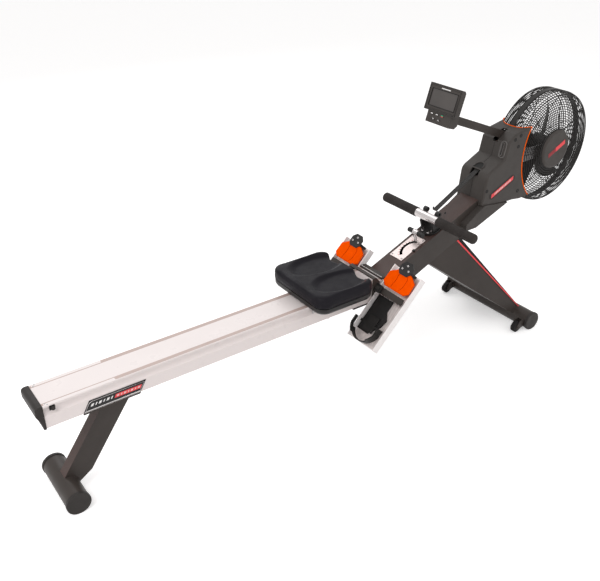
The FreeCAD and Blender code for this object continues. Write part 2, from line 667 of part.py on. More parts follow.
def make_wheels():
    x = FRONT_FOOT_X - s.wheel_back
    z = s.wheel_radius + s.wheel_lift
    half = s.wheel_width / 2
    wheel = revolved("Wheel", [
        (-half, s.wheel_bore + s.fit_gap), (half, s.wheel_bore + s.fit_gap),
        (half, s.wheel_radius - 3), (half - 3, s.wheel_radius),
        (3 - half, s.wheel_radius), (-half, s.wheel_radius - 3),
    ])
    put(wheel, x, -s.wheel_y, z)
    node(wheel, "wheel_right")
    node(mirrored("WheelLeft", wheel), "wheel_left")

    inner = half + s.fork_gap
    tail = s.wheel_bore + s.fork_thick
    outline = [
        (x - tail, z - tail), (x + tail, z - tail), (FRONT_FOOT_X - s.foot_radius / 2, z + 0 * tail),
        (FRONT_FOOT_X - s.foot_radius / 2, s.fork_top), (x + tail, s.fork_top), (x - tail, z + tail),
    ]
    plates = []
    for side, y in (("In", -s.wheel_y + inner + s.fork_thick), ("Out", -s.wheel_y - inner)):
        plate = prism("WheelPlate" + side, "XZ", s.fork_thick, outline)
        plates.append(put(plate, 0, y, 0))
    bridge = block("WheelBridge", s.wheel_back - s.foot_radius - s.wheel_radius + s.foot_radius / 2 - 2,
                   2 * (inner + s.fork_thick), s.fork_thick)
    put(bridge, FRONT_FOOT_X - s.wheel_back + s.wheel_radius + 2, -s.wheel_y - inner - s.fork_thick,
        s.fork_top - s.fork_thick)
    axle = cross_rod("WheelAxle", s.wheel_bore, x, z, -s.wheel_y - inner - 2 * s.fork_thick,
                     -s.wheel_y + inner + 2 * s.fork_thick)
    tube = cross_rod("WheelTube", s.foot_radius, FRONT_FOOT_X, s.foot_radius,
                     -s.front_foot_half, s.front_foot_half)
    right = cut("WheelFork", fuse("WheelForkParts", bridge, axle, *plates), tube)
    node(group("WheelForks", right, mirrored("WheelForkLeft", right)), "wheel_brackets")


# ---------------------------------------------------------------- footrests

def on_tray(u, w):
    return on_slope(u, w, s.rail_length - s.tray_back, s.tray_heel_z, s.foot_angle)


def on_tray_at(obj, u, y, w):
    x, z = on_tray(u, w)
    return put(obj, x, y, z, angle=s.foot_angle)


def make_footrests():
    half, rim, base = s.tray_width / 2, s.rim_height, s.tray_thick
    tray = prism("Tray", "YZ", s.tray_length, [
        (-half, -base), (half, -base), (half, rim), (half - s.rim_thick, rim),
        (half - s.rim_thick, 0 * half), (s.rim_thick - half, 0 * half), (s.rim_thick - half, rim),
        (-half, rim),
    ])
    on_tray_at(tray, 0, -s.tray_y, 0)
    node(tray, "footplate_right")
    node(mirrored("TrayLeft", tray), "footplate_left")

    # The bed keeps to the side of the tray that is next to the rail
    length, inside, outside = s.bed_length, s.bed_inner, -s.bed_outer
    sole = prism("Sole", "XY", s.bed_thick, [
        (0 * length, s.bed_heel), (s.bed_wide * 0.6, 0.8 * outside), (s.bed_wide, outside),
        (s.bed_narrow, -s.bed_waist), (length, -s.bed_waist), (length, inside), (0 * length, inside),
    ])
    on_tray_at(sole, s.bed_start, -s.tray_y, 0)
    node(group("Soles", sole, mirrored("SoleLeft", sole)), "foot_beds")

    width, wall = s.heel_width / 2, s.heel_wall
    base = s.bed_thick + s.heel_gap
    cup = prism("HeelCup", "XY", s.heel_height, [
        (s.heel_length, -width), (s.heel_length, wall - width), (s.heel_length / 2, wall - width,
                                                                 -(width - wall) * 1.05),
        (s.heel_length / 2, width - wall), (s.heel_length, width - wall), (s.heel_length, width),
        (s.heel_length / 2, width, 1.05 * width), (s.heel_length / 2, -width),
    ])
    on_tray_at(cup, s.heel_start, s.heel_in - s.tray_y, base)
    dip = block("HeelDip", s.heel_length, 1.3 * width, s.heel_height)
    on_tray_at(dip, s.heel_start - s.heel_length / 2, s.heel_in - s.tray_y - 0.65 * width, base + s.heel_low)
    # Where the cup reaches over the tray's inner rim it keeps above it
    over = block("HeelOver", 4 * s.heel_length, width, rim + s.heel_gap)
    on_tray_at(over, -2 * s.heel_length, half - s.rim_thick - s.heel_gap - s.tray_y, 0)
    return cut("HeelCupDipped", cup, dip, over)


def make_heel_cups():
    width, wall = s.heel_width / 2, s.heel_wall
    cup = make_footrests()
    runner = block("HeelRunner", s.heel_length, s.runner_width, wall)
    on_tray_at(runner, s.heel_start + s.heel_length / 2, s.heel_in - s.tray_y - s.runner_width / 2,
               s.bed_thick + s.heel_gap)
    bar = block("HeelBar", 2 * wall, 2 * width - 2.8 * wall, wall)
    on_tray_at(bar, s.heel_start + s.heel_length - 2 * wall, s.heel_in + wall / 2 - s.tray_y - width,
               s.bed_thick + s.heel_gap)
    right = node(fuse("HeelCupRight", cup, runner, bar), "heel_cup_right")
    node(mirrored("HeelCupLeft", right), "heel_cup_left")


def make_crossbar():
    """Instep bar of each footrest, on an arch over the rail that stands on the cross tube."""
    tube_x = s.rail_length - s.cross_tube_back
    tube_z = RAIL_BOTTOM - s.saddle_thick - s.cross_tube_radius
    inner = RAIL_HALF + s.stay_gap
    outer = inner + s.stay_thick
    back = s.rail_length - s.arch_back
    bar_x, bar_z = on_tray(s.cross_u + s.cross_width / 2, s.cross_w)
    top = block("ArchTop", s.arch_depth, 2 * outer, s.stay_thick)
    parts = [put(top, back, -outer, s.arch_top - s.stay_thick)]
    for side, y, bar_y in (("Left", inner, outer), ("Right", -outer, -s.cross_half)):
        leg = prism("Stay" + side, "XZ", s.stay_thick, [
            (back, s.arch_top), (back, RAIL_BOTTOM + s.cross_width), (tube_x - s.cross_tube_radius, tube_z),
            (tube_x + s.cross_tube_radius, tube_z), (bar_x + 2 * s.cross_thick, bar_z),
            (bar_x + 2 * s.cross_thick, bar_z + s.cross_width), (back + s.arch_depth, s.arch_top),
        ])
        parts.append(put(leg, 0, y + s.stay_thick, 0))
        bar = block("InstepBar" + side, s.cross_width, s.cross_half - outer, s.cross_thick)
        parts.append(on_tray_at(bar, s.cross_u, bar_y, s.cross_w))
    tube = cross_rod("StayTube", s.cross_tube_radius, tube_x, tube_z, -s.cross_half, s.cross_half)
    node(cut("Crossbar", fuse("CrossbarParts", *parts), tube), "foot_crossbar")


def make_cross_tube():
    """Tube under the rail that carries both footplates on welded brackets."""
    x = s.rail_length - s.cross_tube_back
    z = RAIL_BOTTOM - s.saddle_thick - s.cross_tube_radius
    half = s.cross_tube_half
    outer = cross_rod("CrossTube", s.cross_tube_radius, x, z, -half, half)
    bore = cross_rod("CrossBore", s.cross_tube_radius - s.cross_tube_wall, x, z, -half - 1, half + 1)
    tray_x, tray_z = s.rail_length - s.tray_back, s.tray_heel_z
    # Distance along the tray from its heel to the point above the tube, and from there to the tube
    along = (x - tray_x) * cos(s.foot_angle) + (z - tray_z) * sin(s.foot_angle)
    below = (x - tray_x) * sin(s.foot_angle) - (z - tray_z) * cos(s.foot_angle)
    brackets = []
    for side, y in (("Left", s.tray_y), ("Right", -s.tray_y)):
        bracket = block("TrayBracket" + side, s.bracket_length, s.bracket_width, below - s.tray_thick)
        on_tray_at(bracket, along - s.bracket_length / 2, y - s.bracket_width / 2, -below)
        brackets.append(bracket)
    frame = fuse("CrossFrame", outer, *brackets)
    node(cut("CrossTubeBored", frame, bore), "footrest_tube")


def make_toe_pads():
    half, length, thick = s.pad_width / 2, s.pad_length, s.pad_thick
    pad = prism("ToePad", "XY", thick, [
        (0 * length, -half * 0.72), (length * 0.18, -half), (length * 0.74, -half), (length, -half * 0.46),
        (length, half * 0.46), (length * 0.74, half), (length * 0.18, half), (0 * length, half * 0.72),
    ])
    # The pad hangs under the plate of the toe bracket
    on_tray_at(pad, s.pad_start, -s.tray_y, s.toe_lift - s.pad_gap - thick)
    node(group("ToePads", pad, mirrored("ToePadLeft", pad)), "toe_pads")

    toe, run = s.toe_width / 2, s.toe_length
    plate = prism("ToePlate", "XY", s.toe_thick, [
        (0 * run, -0.6 * toe), (run * 0.25, -toe), (run * 0.7, -toe), (run, -toe / 2), (run, toe / 2),
        (run * 0.7, toe), (run * 0.25, toe), (0 * run, 0.6 * toe),
    ])
    on_tray_at(plate, s.toe_u, -s.tray_y, s.toe_lift)
    past_pad = s.pad_start + length + s.pad_gap
    foot = block("ToeFoot", s.tray_length - past_pad, s.toe_width, s.toe_lift)
    on_tray_at(foot, past_pad, -s.tray_y - toe, 0)
    right = fuse("ToeBracket", plate, foot)
    node(group("ToeBrackets", right, mirrored("ToeBracketLeft", right)), "toe_brackets")


# ---------------------------------------------------------------- seat

def seat_outline(inset):
    back, front = inset - s.pad_depth / 2, s.pad_depth / 2 - inset
    half, corner = s.seat_width / 2 - inset, s.seat_round - inset / 2
    return [
        (back + corner, -half), (front - corner, -half, corner), (front, corner - half),
        (front, half - corner, corner), (front - corner, half), (back + corner, half, corner),
        (back, half - corner), (back, corner - half, corner),
    ]


def carriage_top():
    return s.rail_top + s.roller_gap + 2 * s.roller_radius + s.carriage_gap


def make_seat():
    plate_z = carriage_top()
    pan_z = plate_z + s.carriage_wall
    pad_z = pan_z + s.pan_thick + s.pad_gap
    pad = prism("SeatPad", "XY", s.seat_top - s.pad_base, seat_outline(0 * s.pan_inset))
    put(pad, SEAT_X, 0, s.pad_base)
    round_edges(pad, "SeatTopEdges", s.seat_edge, flat_at("z", s.seat_top - s.pad_base))
    # The pad drops over the pan with clearance all round
    nest = prism("SeatNest", "XY", pad_z - s.pad_base, seat_outline(s.pan_inset - 1))
    put(nest, SEAT_X, 0, s.pad_base)
    node(cut("SeatPadNested", pad, nest), "seat_pad")

    skirt_half = s.seat_width / 2 - s.pan_inset - s.pan_thick
    pan = prism("SeatPan", "XY", s.pan_thick + s.pan_skirt, seat_outline(s.pan_inset))
    put(pan, SEAT_X, 0, pan_z - s.pan_skirt)
    hollow = prism("SeatPanHollow", "XY", s.pan_skirt, seat_outline(s.pan_inset + s.pan_thick))
    put(hollow, SEAT_X, 0, pan_z - s.pan_skirt)
    passage_half = RAIL_HALF + s.carriage_gap + s.carriage_wall + s.carriage_gap
    passage = block("SeatPanPassage", 2 * s.pad_depth, 2 * passage_half, s.pan_skirt)
    put(passage, SEAT_X - s.pad_depth, -passage_half, pan_z - s.pan_skirt)
    node(cut("SeatPanCut", pan, hollow, passage), "seat_pan")

    half_length = s.carriage_length / 2
    outer_half = RAIL_HALF + s.carriage_gap + s.carriage_wall
    inner_half = RAIL_HALF + s.carriage_gap
    low = s.rail_top - s.carriage_drop - s.roller_radius
    channel = prism("Channel", "YZ", s.carriage_length, [
        (-outer_half, low), (-inner_half, low), (-inner_half, plate_z), (inner_half, plate_z),
        (inner_half, low), (outer_half, low), (outer_half, plate_z + s.carriage_wall),
        (-outer_half, plate_z + s.carriage_wall),
    ])
    put(channel, SEAT_X - half_length, 0, 0)
    holes = []
    axle_z = s.rail_top + s.roller_gap + s.roller_radius
    for end, x in (("Rear", -s.roller_x), ("Front", s.roller_x)):
        holes.append(cross_rod("AxleHole" + end, s.axle_radius + s.fit_gap, SEAT_X + x, axle_z,
                               -s.rail_width, s.rail_width))
    # Glide shoes that reach from the flanges into the coves of the rail
    shoes = []
    shoe_z = s.rail_top - s.shoe_drop - s.shoe_height
    for end, x in (("Rear", -s.roller_x), ("Front", s.roller_x)):
        shoe = block("Shoe" + end, s.shoe_length, s.shoe_reach, s.shoe_height)
        put(shoe, SEAT_X + x - s.shoe_length / 2, -inner_half, shoe_z)
        shoes.extend([shoe, mirrored("ShoeLeft" + end, shoe)])
    drilled = cut("CarriageDrilled", channel, *holes)
    node(fuse("Carriage", drilled, *shoes), "seat_carriage")

    wheel_y = RAIL_HALF - s.strip_inset - s.strip_width / 2
    for end, x in (("rear", -s.roller_x), ("front", s.roller_x)):
        reach, edge = s.roller_width / 2, outer_half + 1
        set_body = revolved("Rollers" + end, [
            (-edge, 0 * edge), (edge, 0 * edge), (edge, s.axle_radius),
            (wheel_y + reach, s.axle_radius), (wheel_y + reach, s.roller_radius),
            (wheel_y - reach, s.roller_radius), (wheel_y - reach, s.axle_radius),
            (reach - wheel_y, s.axle_radius), (reach - wheel_y, s.roller_radius),
            (-wheel_y - reach, s.roller_radius), (-wheel_y - reach, s.axle_radius),
            (-edge, s.axle_radius),
        ])
        put(set_body, SEAT_X + x, 0, axle_z)
        node(set_body, "rollers_" + end)


# ---------------------------------------------------------------- handle, cradle, strap, lever

def handle_place():
    return on_frame(s.handle_u, s.handle_w)


def on_strap(obj, along, y, above):
    x, z = handle_place()
    px, pz = on_slope(along, above, x, z, s.strap_rise)
    return put(obj, px, y, pz, angle=s.strap_rise)


def make_handle():
    x, z = handle_place()
    bar_half = s.handle_half - s.grip_end
    node(cross_rod("HandleBar", s.bar_radius, x, z, -bar_half, bar_half), "handle_bar")
    bore = s.bar_radius + s.fit_gap
    sleeve = revolved("Sleeve", [
        (-s.sleeve_half, bore), (s.sleeve_half, bore), (s.sleeve_half, s.sleeve_radius),
        (-s.sleeve_half, s.sleeve_radius),
    ])
    put(sleeve, x, 0, z)
    start, end, tip = s.sleeve_half, s.handle_half, s.grip_end
    grip = revolved("Grip", [
        (start, bore), (end - tip + s.fit_gap, bore), (end - tip + s.fit_gap, 0 * tip), (end, 0 * tip),
        (end, s.grip_radius - tip, tip), (end - tip, s.grip_radius), (start, s.grip_radius),
    ])
    put(grip, x, 0, z)
    node(group("Grips", grip, mirrored("GripRight", grip)), "handle_grips")

    length = s.clamp_end - s.clamp_start
    clamp = block("StrapClamp", length, s.clamp_width, s.clamp_thick)
    on_strap(clamp, s.clamp_start, -s.clamp_width / 2, -s.clamp_thick / 2)
    void = cross_rod("ClampVoid", s.sleeve_radius, x, z, -s.clamp_width, s.clamp_width)
    node(fuse("SleeveClamp", sleeve, cut("Clamp", clamp, void)), "handle_sleeve")

    strap = block("Strap", s.drum_along - s.clamp_end, s.strap_width, s.strap_thick)
    on_strap(strap, s.clamp_end, -s.strap_width / 2, -s.strap_thick / 2)
    node(strap, "handle_strap")


def make_cradle():
    base = rod("CradleBase", s.cradle_radius, s.cradle_thick, "z")
    x, z = on_frame(s.handle_u, 0)
    put(base, x, 0, z, angle=s.frame_slope)
    cup = s.sleeve_radius + s.hook_gap
    height = s.handle_w
    exit_x, exit_z = -cup * 0.38, height - cup * 0.925
    hooks = []
    for side, y in (("Left", s.hook_y + s.hook_thick), ("Right", -s.hook_y)):
        hook = prism("Hook" + side, "XZ", s.hook_thick, [
            (-cup, 0 * cup), (cup, 0 * cup), (cup + s.hook_wall, height * 0.7),
            (cup + s.hook_wall, height + s.hook_wall, s.hook_wall * 0.55), (cup, height + s.hook_wall),
            (cup, height, -cup), (0 * cup, height - cup, -cup), (exit_x, exit_z),
            (exit_x - s.hook_wall, exit_z - s.hook_wall / 2),
        ])
        x, z = on_frame(s.handle_u, 0)
        hooks.append(put(hook, x, y, z, angle=s.frame_slope))
    # Round rollers' ends in front of the sleeve keep the handle in its rest
    tip_x, tip_z = on_frame(s.handle_u + s.tip_ahead, s.handle_w + s.tip_above)
    bores = []
    for side, y in (("Left", s.tip_inner), ("Right", -s.tip_outer)):
        hooks.append(cross_rod("HookTip" + side, s.tip_radius, tip_x, tip_z, y, y + s.tip_outer - s.tip_inner))
    for side, y in (("Left", s.tip_outer - s.tip_bore_depth), ("Right", -s.tip_outer)):
        bores.append(cross_rod("TipBore" + side, s.tip_bore, tip_x, tip_z, y, y + s.tip_bore_depth))
    node(cut("CradleBored", fuse("Cradle", base, *hooks), *bores), "handle_cradle")


def lever_u():
    return s.scale_u + s.scale_length / 2


def slot_loop(centre, pivot_y, radius, angle, half):
    """Curved slot of one width about a pivot, as a loop in the plane of the scale."""
    wide, narrow = radius + half, radius - half
    return [
        (centre + wide * sin(angle), pivot_y + wide * cos(angle), wide),
        (centre - wide * sin(angle), pivot_y + wide * cos(angle)),
        (centre - narrow * sin(angle), pivot_y + narrow * cos(angle), -narrow),
        (centre + narrow * sin(angle), pivot_y + narrow * cos(angle)),
    ]


def make_scale():
    half, length = s.scale_width / 2, s.scale_length
    plate = prism("ScalePlate", "XY", s.scale_thick, [
        (0 * half, -half), (length, -half), (length, half - s.scale_slope),
        (length - s.scale_slope, half), (0 * half, half),
    ], slot_loop(length / 2, -s.lever_pivot_y + 0 * half, s.slot_radius, s.slot_angle, s.slot_half))
    x, z = on_frame(s.scale_u, 0)
    put(plate, x, 0, z, angle=s.frame_slope)
    washer = rod("LeverWasher", s.lever_bolt * 1.6, s.frame_wall * 3, "z")
    x, z = on_frame(lever_u(), -s.frame_wall)
    put(washer, x, -s.lever_pivot_y, z, angle=s.frame_slope)
    node(cut("Scale", plate, washer), "scale_plate")


def make_lever():
    """Crank under the frame's top wall, pivot bolt, stem through the slot and cross handle."""
    angle, radius, half = s.lever_angle, s.slot_radius, s.lever_arm_half
    tip_u, tip_y = radius * sin(angle), radius * cos(angle)
    side_u, side_y = half * cos(angle), half * sin(angle)
    arm = prism("LeverArm", "XY", s.lever_arm_thick, [
        (-side_u, side_y), (side_u, -side_y), (tip_u + side_u, tip_y - side_y),
        (tip_u - side_u, tip_y + side_y),
    ])
    floor = -s.frame_wall - s.lever_arm_gap - s.lever_arm_thick
    x, z = on_frame(lever_u(), floor)
    put(arm, x, -s.lever_pivot_y, z, angle=s.frame_slope)
    bolt = rod("LeverBolt", s.lever_bolt, s.scale_thick - floor + s.head_height, "z")
    put(bolt, x, -s.lever_pivot_y, z, angle=s.frame_slope)
    # The stem stands upright in the slot, not square to the sloping plate
    x, z = on_frame(lever_u() + tip_u, s.scale_thick / 2)
    y = tip_y - s.lever_pivot_y
    below = (s.scale_thick / 2 - floor) / cos(s.frame_slope)
    stem = rod("LeverStem", s.stem_radius, s.stem_height + below, "z")
    put(stem, x, y, z - below)
    tee = cross_rod("LeverTee", s.tee_radius, x, z + s.stem_height, y - s.tee_half, y + s.tee_half)
    node(fuse("Lever", arm, bolt, stem, tee), "resistance_lever")


# ---------------------------------------------------------------- fan and cage

def at_fan(obj, y=0):
    return put(obj, FAN_X, y, FAN_Z)


def guard(name, inner):
    """Rings on a straight slope from the corner of the cage to the hub, with ribs across them."""
    radius, wire, half = s.cage_radius, s.wire, s.cage_half
    steps = s.guard_rings - 1
    body = DOC.addObject("PartDesign::Body", name)
    loops = []
    for i in range(int(s.guard_rings.value)):
        share = i / steps
        ring_r = radius - wire - (radius - wire - inner) * share
        ring_y = -half - s.guard_rise * share
        loops.append([(ring_y, ring_r), (ring_y + wire, ring_r), (ring_y + wire, ring_r + wire),
                      (ring_y, ring_r + wire)])
    rings = sketch(body, "YZ_Plane", name + "RingProfile", *loops)
    turn = body.newObject("PartDesign::Revolution", name + "Rings")
    turn.Profile = rings
    turn.ReferenceAxis = (rings, ["H_Axis"])
    turn.Angle = 360
    rib = sketch(body, "YZ_Plane", name + "RibProfile", [
        (-s.band_half, radius - wire * 0.75), (-s.band_half, radius - wire / 4),
        (wire / 4 - half, radius - wire / 4), (wire / 4 - half - s.guard_rise, inner + wire / 2),
        (wire * 1.25 - half - s.guard_rise, inner + wire / 2),
        (wire * 1.25 - half, radius - wire * 0.75),
    ])
    pad = body.newObject("PartDesign::Pad", name + "Rib")
    pad.Profile = rib
    bind(pad, "Length", wire * 0.75)
    polar(body, name + "Ribs", pad, s.guard_ribs)
    # The gap between two ribs faces the housing, where the fork plates and the belt pass
    body.Placement = FreeCAD.Placement(V(0, 0, 0), FreeCAD.Rotation(V(0, 1, 0), 1))
    at_fan(body)
    bind(body, "Placement.Rotation.Angle", 270 - 180 / s.guard_ribs + s.guard_turn)
    return body


def hub_cap(name, edge):
    inner, rounding = -s.cage_half - s.guard_rise, s.hub_cap_round
    return at_fan(revolved(name, [
        (inner, 0 * edge), (inner - s.hub_cap_thick, 0 * edge),
        (inner - s.hub_cap_thick, edge - 2 * rounding, -2.5 * rounding), (inner - rounding / 2, edge),
        (inner, edge),
    ]))


def make_cage():
    band = revolved("Band", [
        (-s.band_half, s.cage_radius - s.band_thick), (s.band_half, s.cage_radius - s.band_thick),
        (s.band_half, s.cage_radius), (-s.band_half, s.cage_radius),
    ])
    node(at_fan(band), "cage_rim")
    node(guard("Guard", s.guard_inner), "cage_right")
    node(mirrored("GuardLeft", guard("GuardFar", s.far_inner)), "cage_left")
    near, far = hub_cap("HubCap", s.hub_cap_radius), hub_cap("HubCapFar", s.far_cap_radius)
    node(group("HubCaps", near, mirrored("HubCapLeft", far)), "hub_caps")


def make_fan():
    bore = s.fan_axle_radius + s.fit_gap
    hub, half = s.fan_hub_radius, s.fan_hub_half
    pulley_low = s.pulley_y - s.pulley_width / 2
    pulley_high = s.pulley_y + s.pulley_width / 2
    fan = DOC.addObject("PartDesign::Body", "Fan")
    profile = sketch(fan, "YZ_Plane", "HubProfile", [
        (-half, bore), (pulley_high, bore), (pulley_high, s.fan_pulley), (half, s.fan_pulley),
        (half, hub), (-half, hub),
    ])
    turn = fan.newObject("PartDesign::Revolution", "Hub")
    turn.Profile = profile
    turn.ReferenceAxis = (profile, ["H_Axis"])
    turn.Angle = 360
    # One blade: a flat paddle that leans across the fan's width
    lean = s.blade_half * tan(s.blade_pitch)
    thick = s.blade_thick
    blade_sketch = sketch(fan, "XY_Plane", "BladeProfile", [
        (-lean - thick, -s.blade_half), (thick - lean, -s.blade_half), (lean + thick, s.blade_half),
        (lean - thick, s.blade_half),
    ])
    blade = fan.newObject("PartDesign::Pad", "Blade")
    blade.Profile = blade_sketch
    blade.Type = "Length"
    bind(blade, "Length", s.blade_tip)
    polar(fan, "Blades", blade, s.blade_count)
    groove_sketch = sketch(fan, "YZ_Plane", "BoreProfile", [
        (-half - 1, 0 * bore), (pulley_high + 1, 0 * bore), (pulley_high + 1, bore), (-half - 1, bore),
    ])
    groove = fan.newObject("PartDesign::Groove", "Bore")
    groove.Profile = groove_sketch
    groove.ReferenceAxis = (groove_sketch, ["H_Axis"])
    groove.Angle = 360
    fan.Tip = groove
    at_fan(fan)
    node(fan, "fan_wheel")

    nut, end = s.axle_nut, s.axle_half
    plate_y = s.frame_width / 2 + s.fit_gap + s.fork_plate
    axle = revolved("FanAxle", [
        (-end, 0 * end), (end, 0 * end), (end, s.fan_axle_radius),
        (plate_y + s.axle_nut_thick, s.fan_axle_radius), (plate_y + s.axle_nut_thick, nut),
        (plate_y, nut), (plate_y, s.fan_axle_radius), (-plate_y, s.fan_axle_radius), (-plate_y, nut),
        (-plate_y - s.axle_nut_thick, nut), (-plate_y - s.axle_nut_thick, s.fan_axle_radius),
        (-end, s.fan_axle_radius),
    ])
    at_fan(axle)
    node(axle, "fan_axle")


# ---------------------------------------------------------------- fork plates, drum and belt

def drum_place():
    """The strap runs on to the top of the drum."""
    x, z = handle_place()
    return on_slope(s.drum_along, -s.drum_radius - s.strap_thick / 2 - s.pad_gap, x, z, s.strap_rise)


def make_fork():
    y = s.frame_width / 2 + s.fit_gap
    axle = s.fan_axle_radius * 2.2
    frame_x, frame_z = on_frame(s.frame_length - 50, -s.frame_depth * 0.85)
    end_x, end_z = on_frame(s.frame_length - 6, -s.frame_depth * 0.85)
    drum_x, drum_z = drum_place()
    head_z = HOUSE_Z + s.block_head
    plate = prism("ForkPlate", "XZ", s.fork_plate, [
        (frame_x, frame_z), (end_x, end_z), (FAN_X - s.cage_radius - 4, FAN_Z - axle - 12),
        (FAN_X - 6, FAN_Z - axle), (FAN_X, FAN_Z - axle, axle), (FAN_X + axle, FAN_Z, axle),
        (FAN_X, FAN_Z + axle), (FAN_X - s.cage_radius + 4, FAN_Z + axle + 6),
        (HOUSE_X - s.block_top_back + 30, head_z), (HOUSE_X - s.block_head_back + 8, head_z - 4),
        (drum_x - s.drum_radius, drum_z),
    ], [(FAN_X, FAN_Z, s.fan_axle_radius + s.fit_gap)],
        [(drum_x, drum_z, s.drum_shaft + s.fit_gap)])
    put(plate, 0, -y, 0)
    # Spacer tube between the two plates, under the pivot of the monitor arm
    arm_x, arm_z = arm_pivot()
    spacer = cross_rod("ForkSpacer", s.drum_shaft, arm_x + 6, arm_z - 24, -y, y)
    node(fuse("Fork", plate, mirrored("ForkPlateLeft", plate), spacer), "fan_fork")

    ear_low = s.arm_width / 2 + s.ear_gap
    ears = []
    for side, ear_y in (("Left", ear_low + s.ear_thick), ("Right", -ear_low)):
        ear = prism("ArmEar" + side, "XZ", s.ear_thick, [
            (arm_x - 6, arm_z - 34), (arm_x + 18, arm_z - 34), (arm_x + 12, arm_z + 6),
            (arm_x - 8, arm_z + 6),
        ])
        ears.append(put(ear, 0, ear_y, 0))
    pin = cross_rod("ArmPin", s.pin_radius, arm_x, arm_z, -ear_low - s.ear_thick, ear_low + s.ear_thick)
    hollow = cross_rod("EarHollow", s.drum_shaft + s.fit_gap, arm_x + 6, arm_z - 24,
                       -2 * s.arm_width, 2 * s.arm_width)
    node(cut("ArmBracket", fuse("ArmEars", pin, *ears), hollow), "arm_bracket")


def make_drum():
    x, z = drum_place()
    half, flange, shaft = s.drum_half, s.drum_flange, s.drum_shaft
    low, high = s.pulley_y - s.pulley_width / 2, s.pulley_y + s.pulley_width / 2
    end = s.frame_width / 2 + s.fork_plate
    drum = revolved("Drum", [
        (-end, 0 * end), (end, 0 * end), (end, shaft), (high, shaft), (high, s.drum_pulley),
        (low, s.drum_pulley), (low, shaft), (half + 3, shaft), (half + 3, flange), (half, flange),
        (half, s.drum_radius), (-half, s.drum_radius), (-half, flange), (-half - 3, flange),
        (-half - 3, shaft), (-end, shaft),
    ])
    put(drum, x, 0, z)
    node(drum, "strap_drum")

    # Flat belt round both pulleys: its two runs are tangent to both circles
    far_x, far_z = FAN_X - x, FAN_Z - z
    big, small = s.drum_pulley + s.belt_gap, s.fan_pulley + s.belt_gap
    thick = s.belt_thick
    loops = []
    for extra in (thick, 0 * thick):
        r1, r2 = big + extra, small + extra
        loops.append([
            (0 * r1, -r1), (far_x, far_z - r2, r2), (far_x + r2, far_z, r2), (far_x, far_z + r2),
            (0 * r1, r1, r1), (-r1, 0 * r1, r1),
        ])
    belt = prism("Belt", "XZ", s.pulley_width, *loops)
    put(belt, x, high, z)
    node(belt, "drive_belt")


# ---------------------------------------------------------------- housing

def housing_outline(inset, ahead, nose):
    """Side view from the nose round to the cage; inset shrinks it, ahead opens the front."""
    def point(back, up, nx, nz, *radius):
        return (HOUSE_X - back + inset * nx, HOUSE_Z + up + inset * nz, *radius)
    return [
        point(s.nose_foot_back, s.nose_foot, 0.6, 1),
        point(s.belly_back, s.belly, -0.3, 1),
        point(s.belly_front_back, s.belly_front, -0.1, 1),
        point(s.cheek_foot_back - ahead, s.cheek_foot, 0, 1.1, -s.cheek_radius),
        point(s.cheek_top_back - ahead, s.cheek_top, 0, -1.1),
        point(s.block_top_back, s.block_top, 0.4, -1),
        point(s.block_head_back, s.block_head, 1, -0.4),
        point(s.block_foot_back, s.block_foot, 1, -0.6),
        *[point(*corner) for corner in nose],
        point(s.nose_back, s.nose_base, 1, 0.2),
    ]


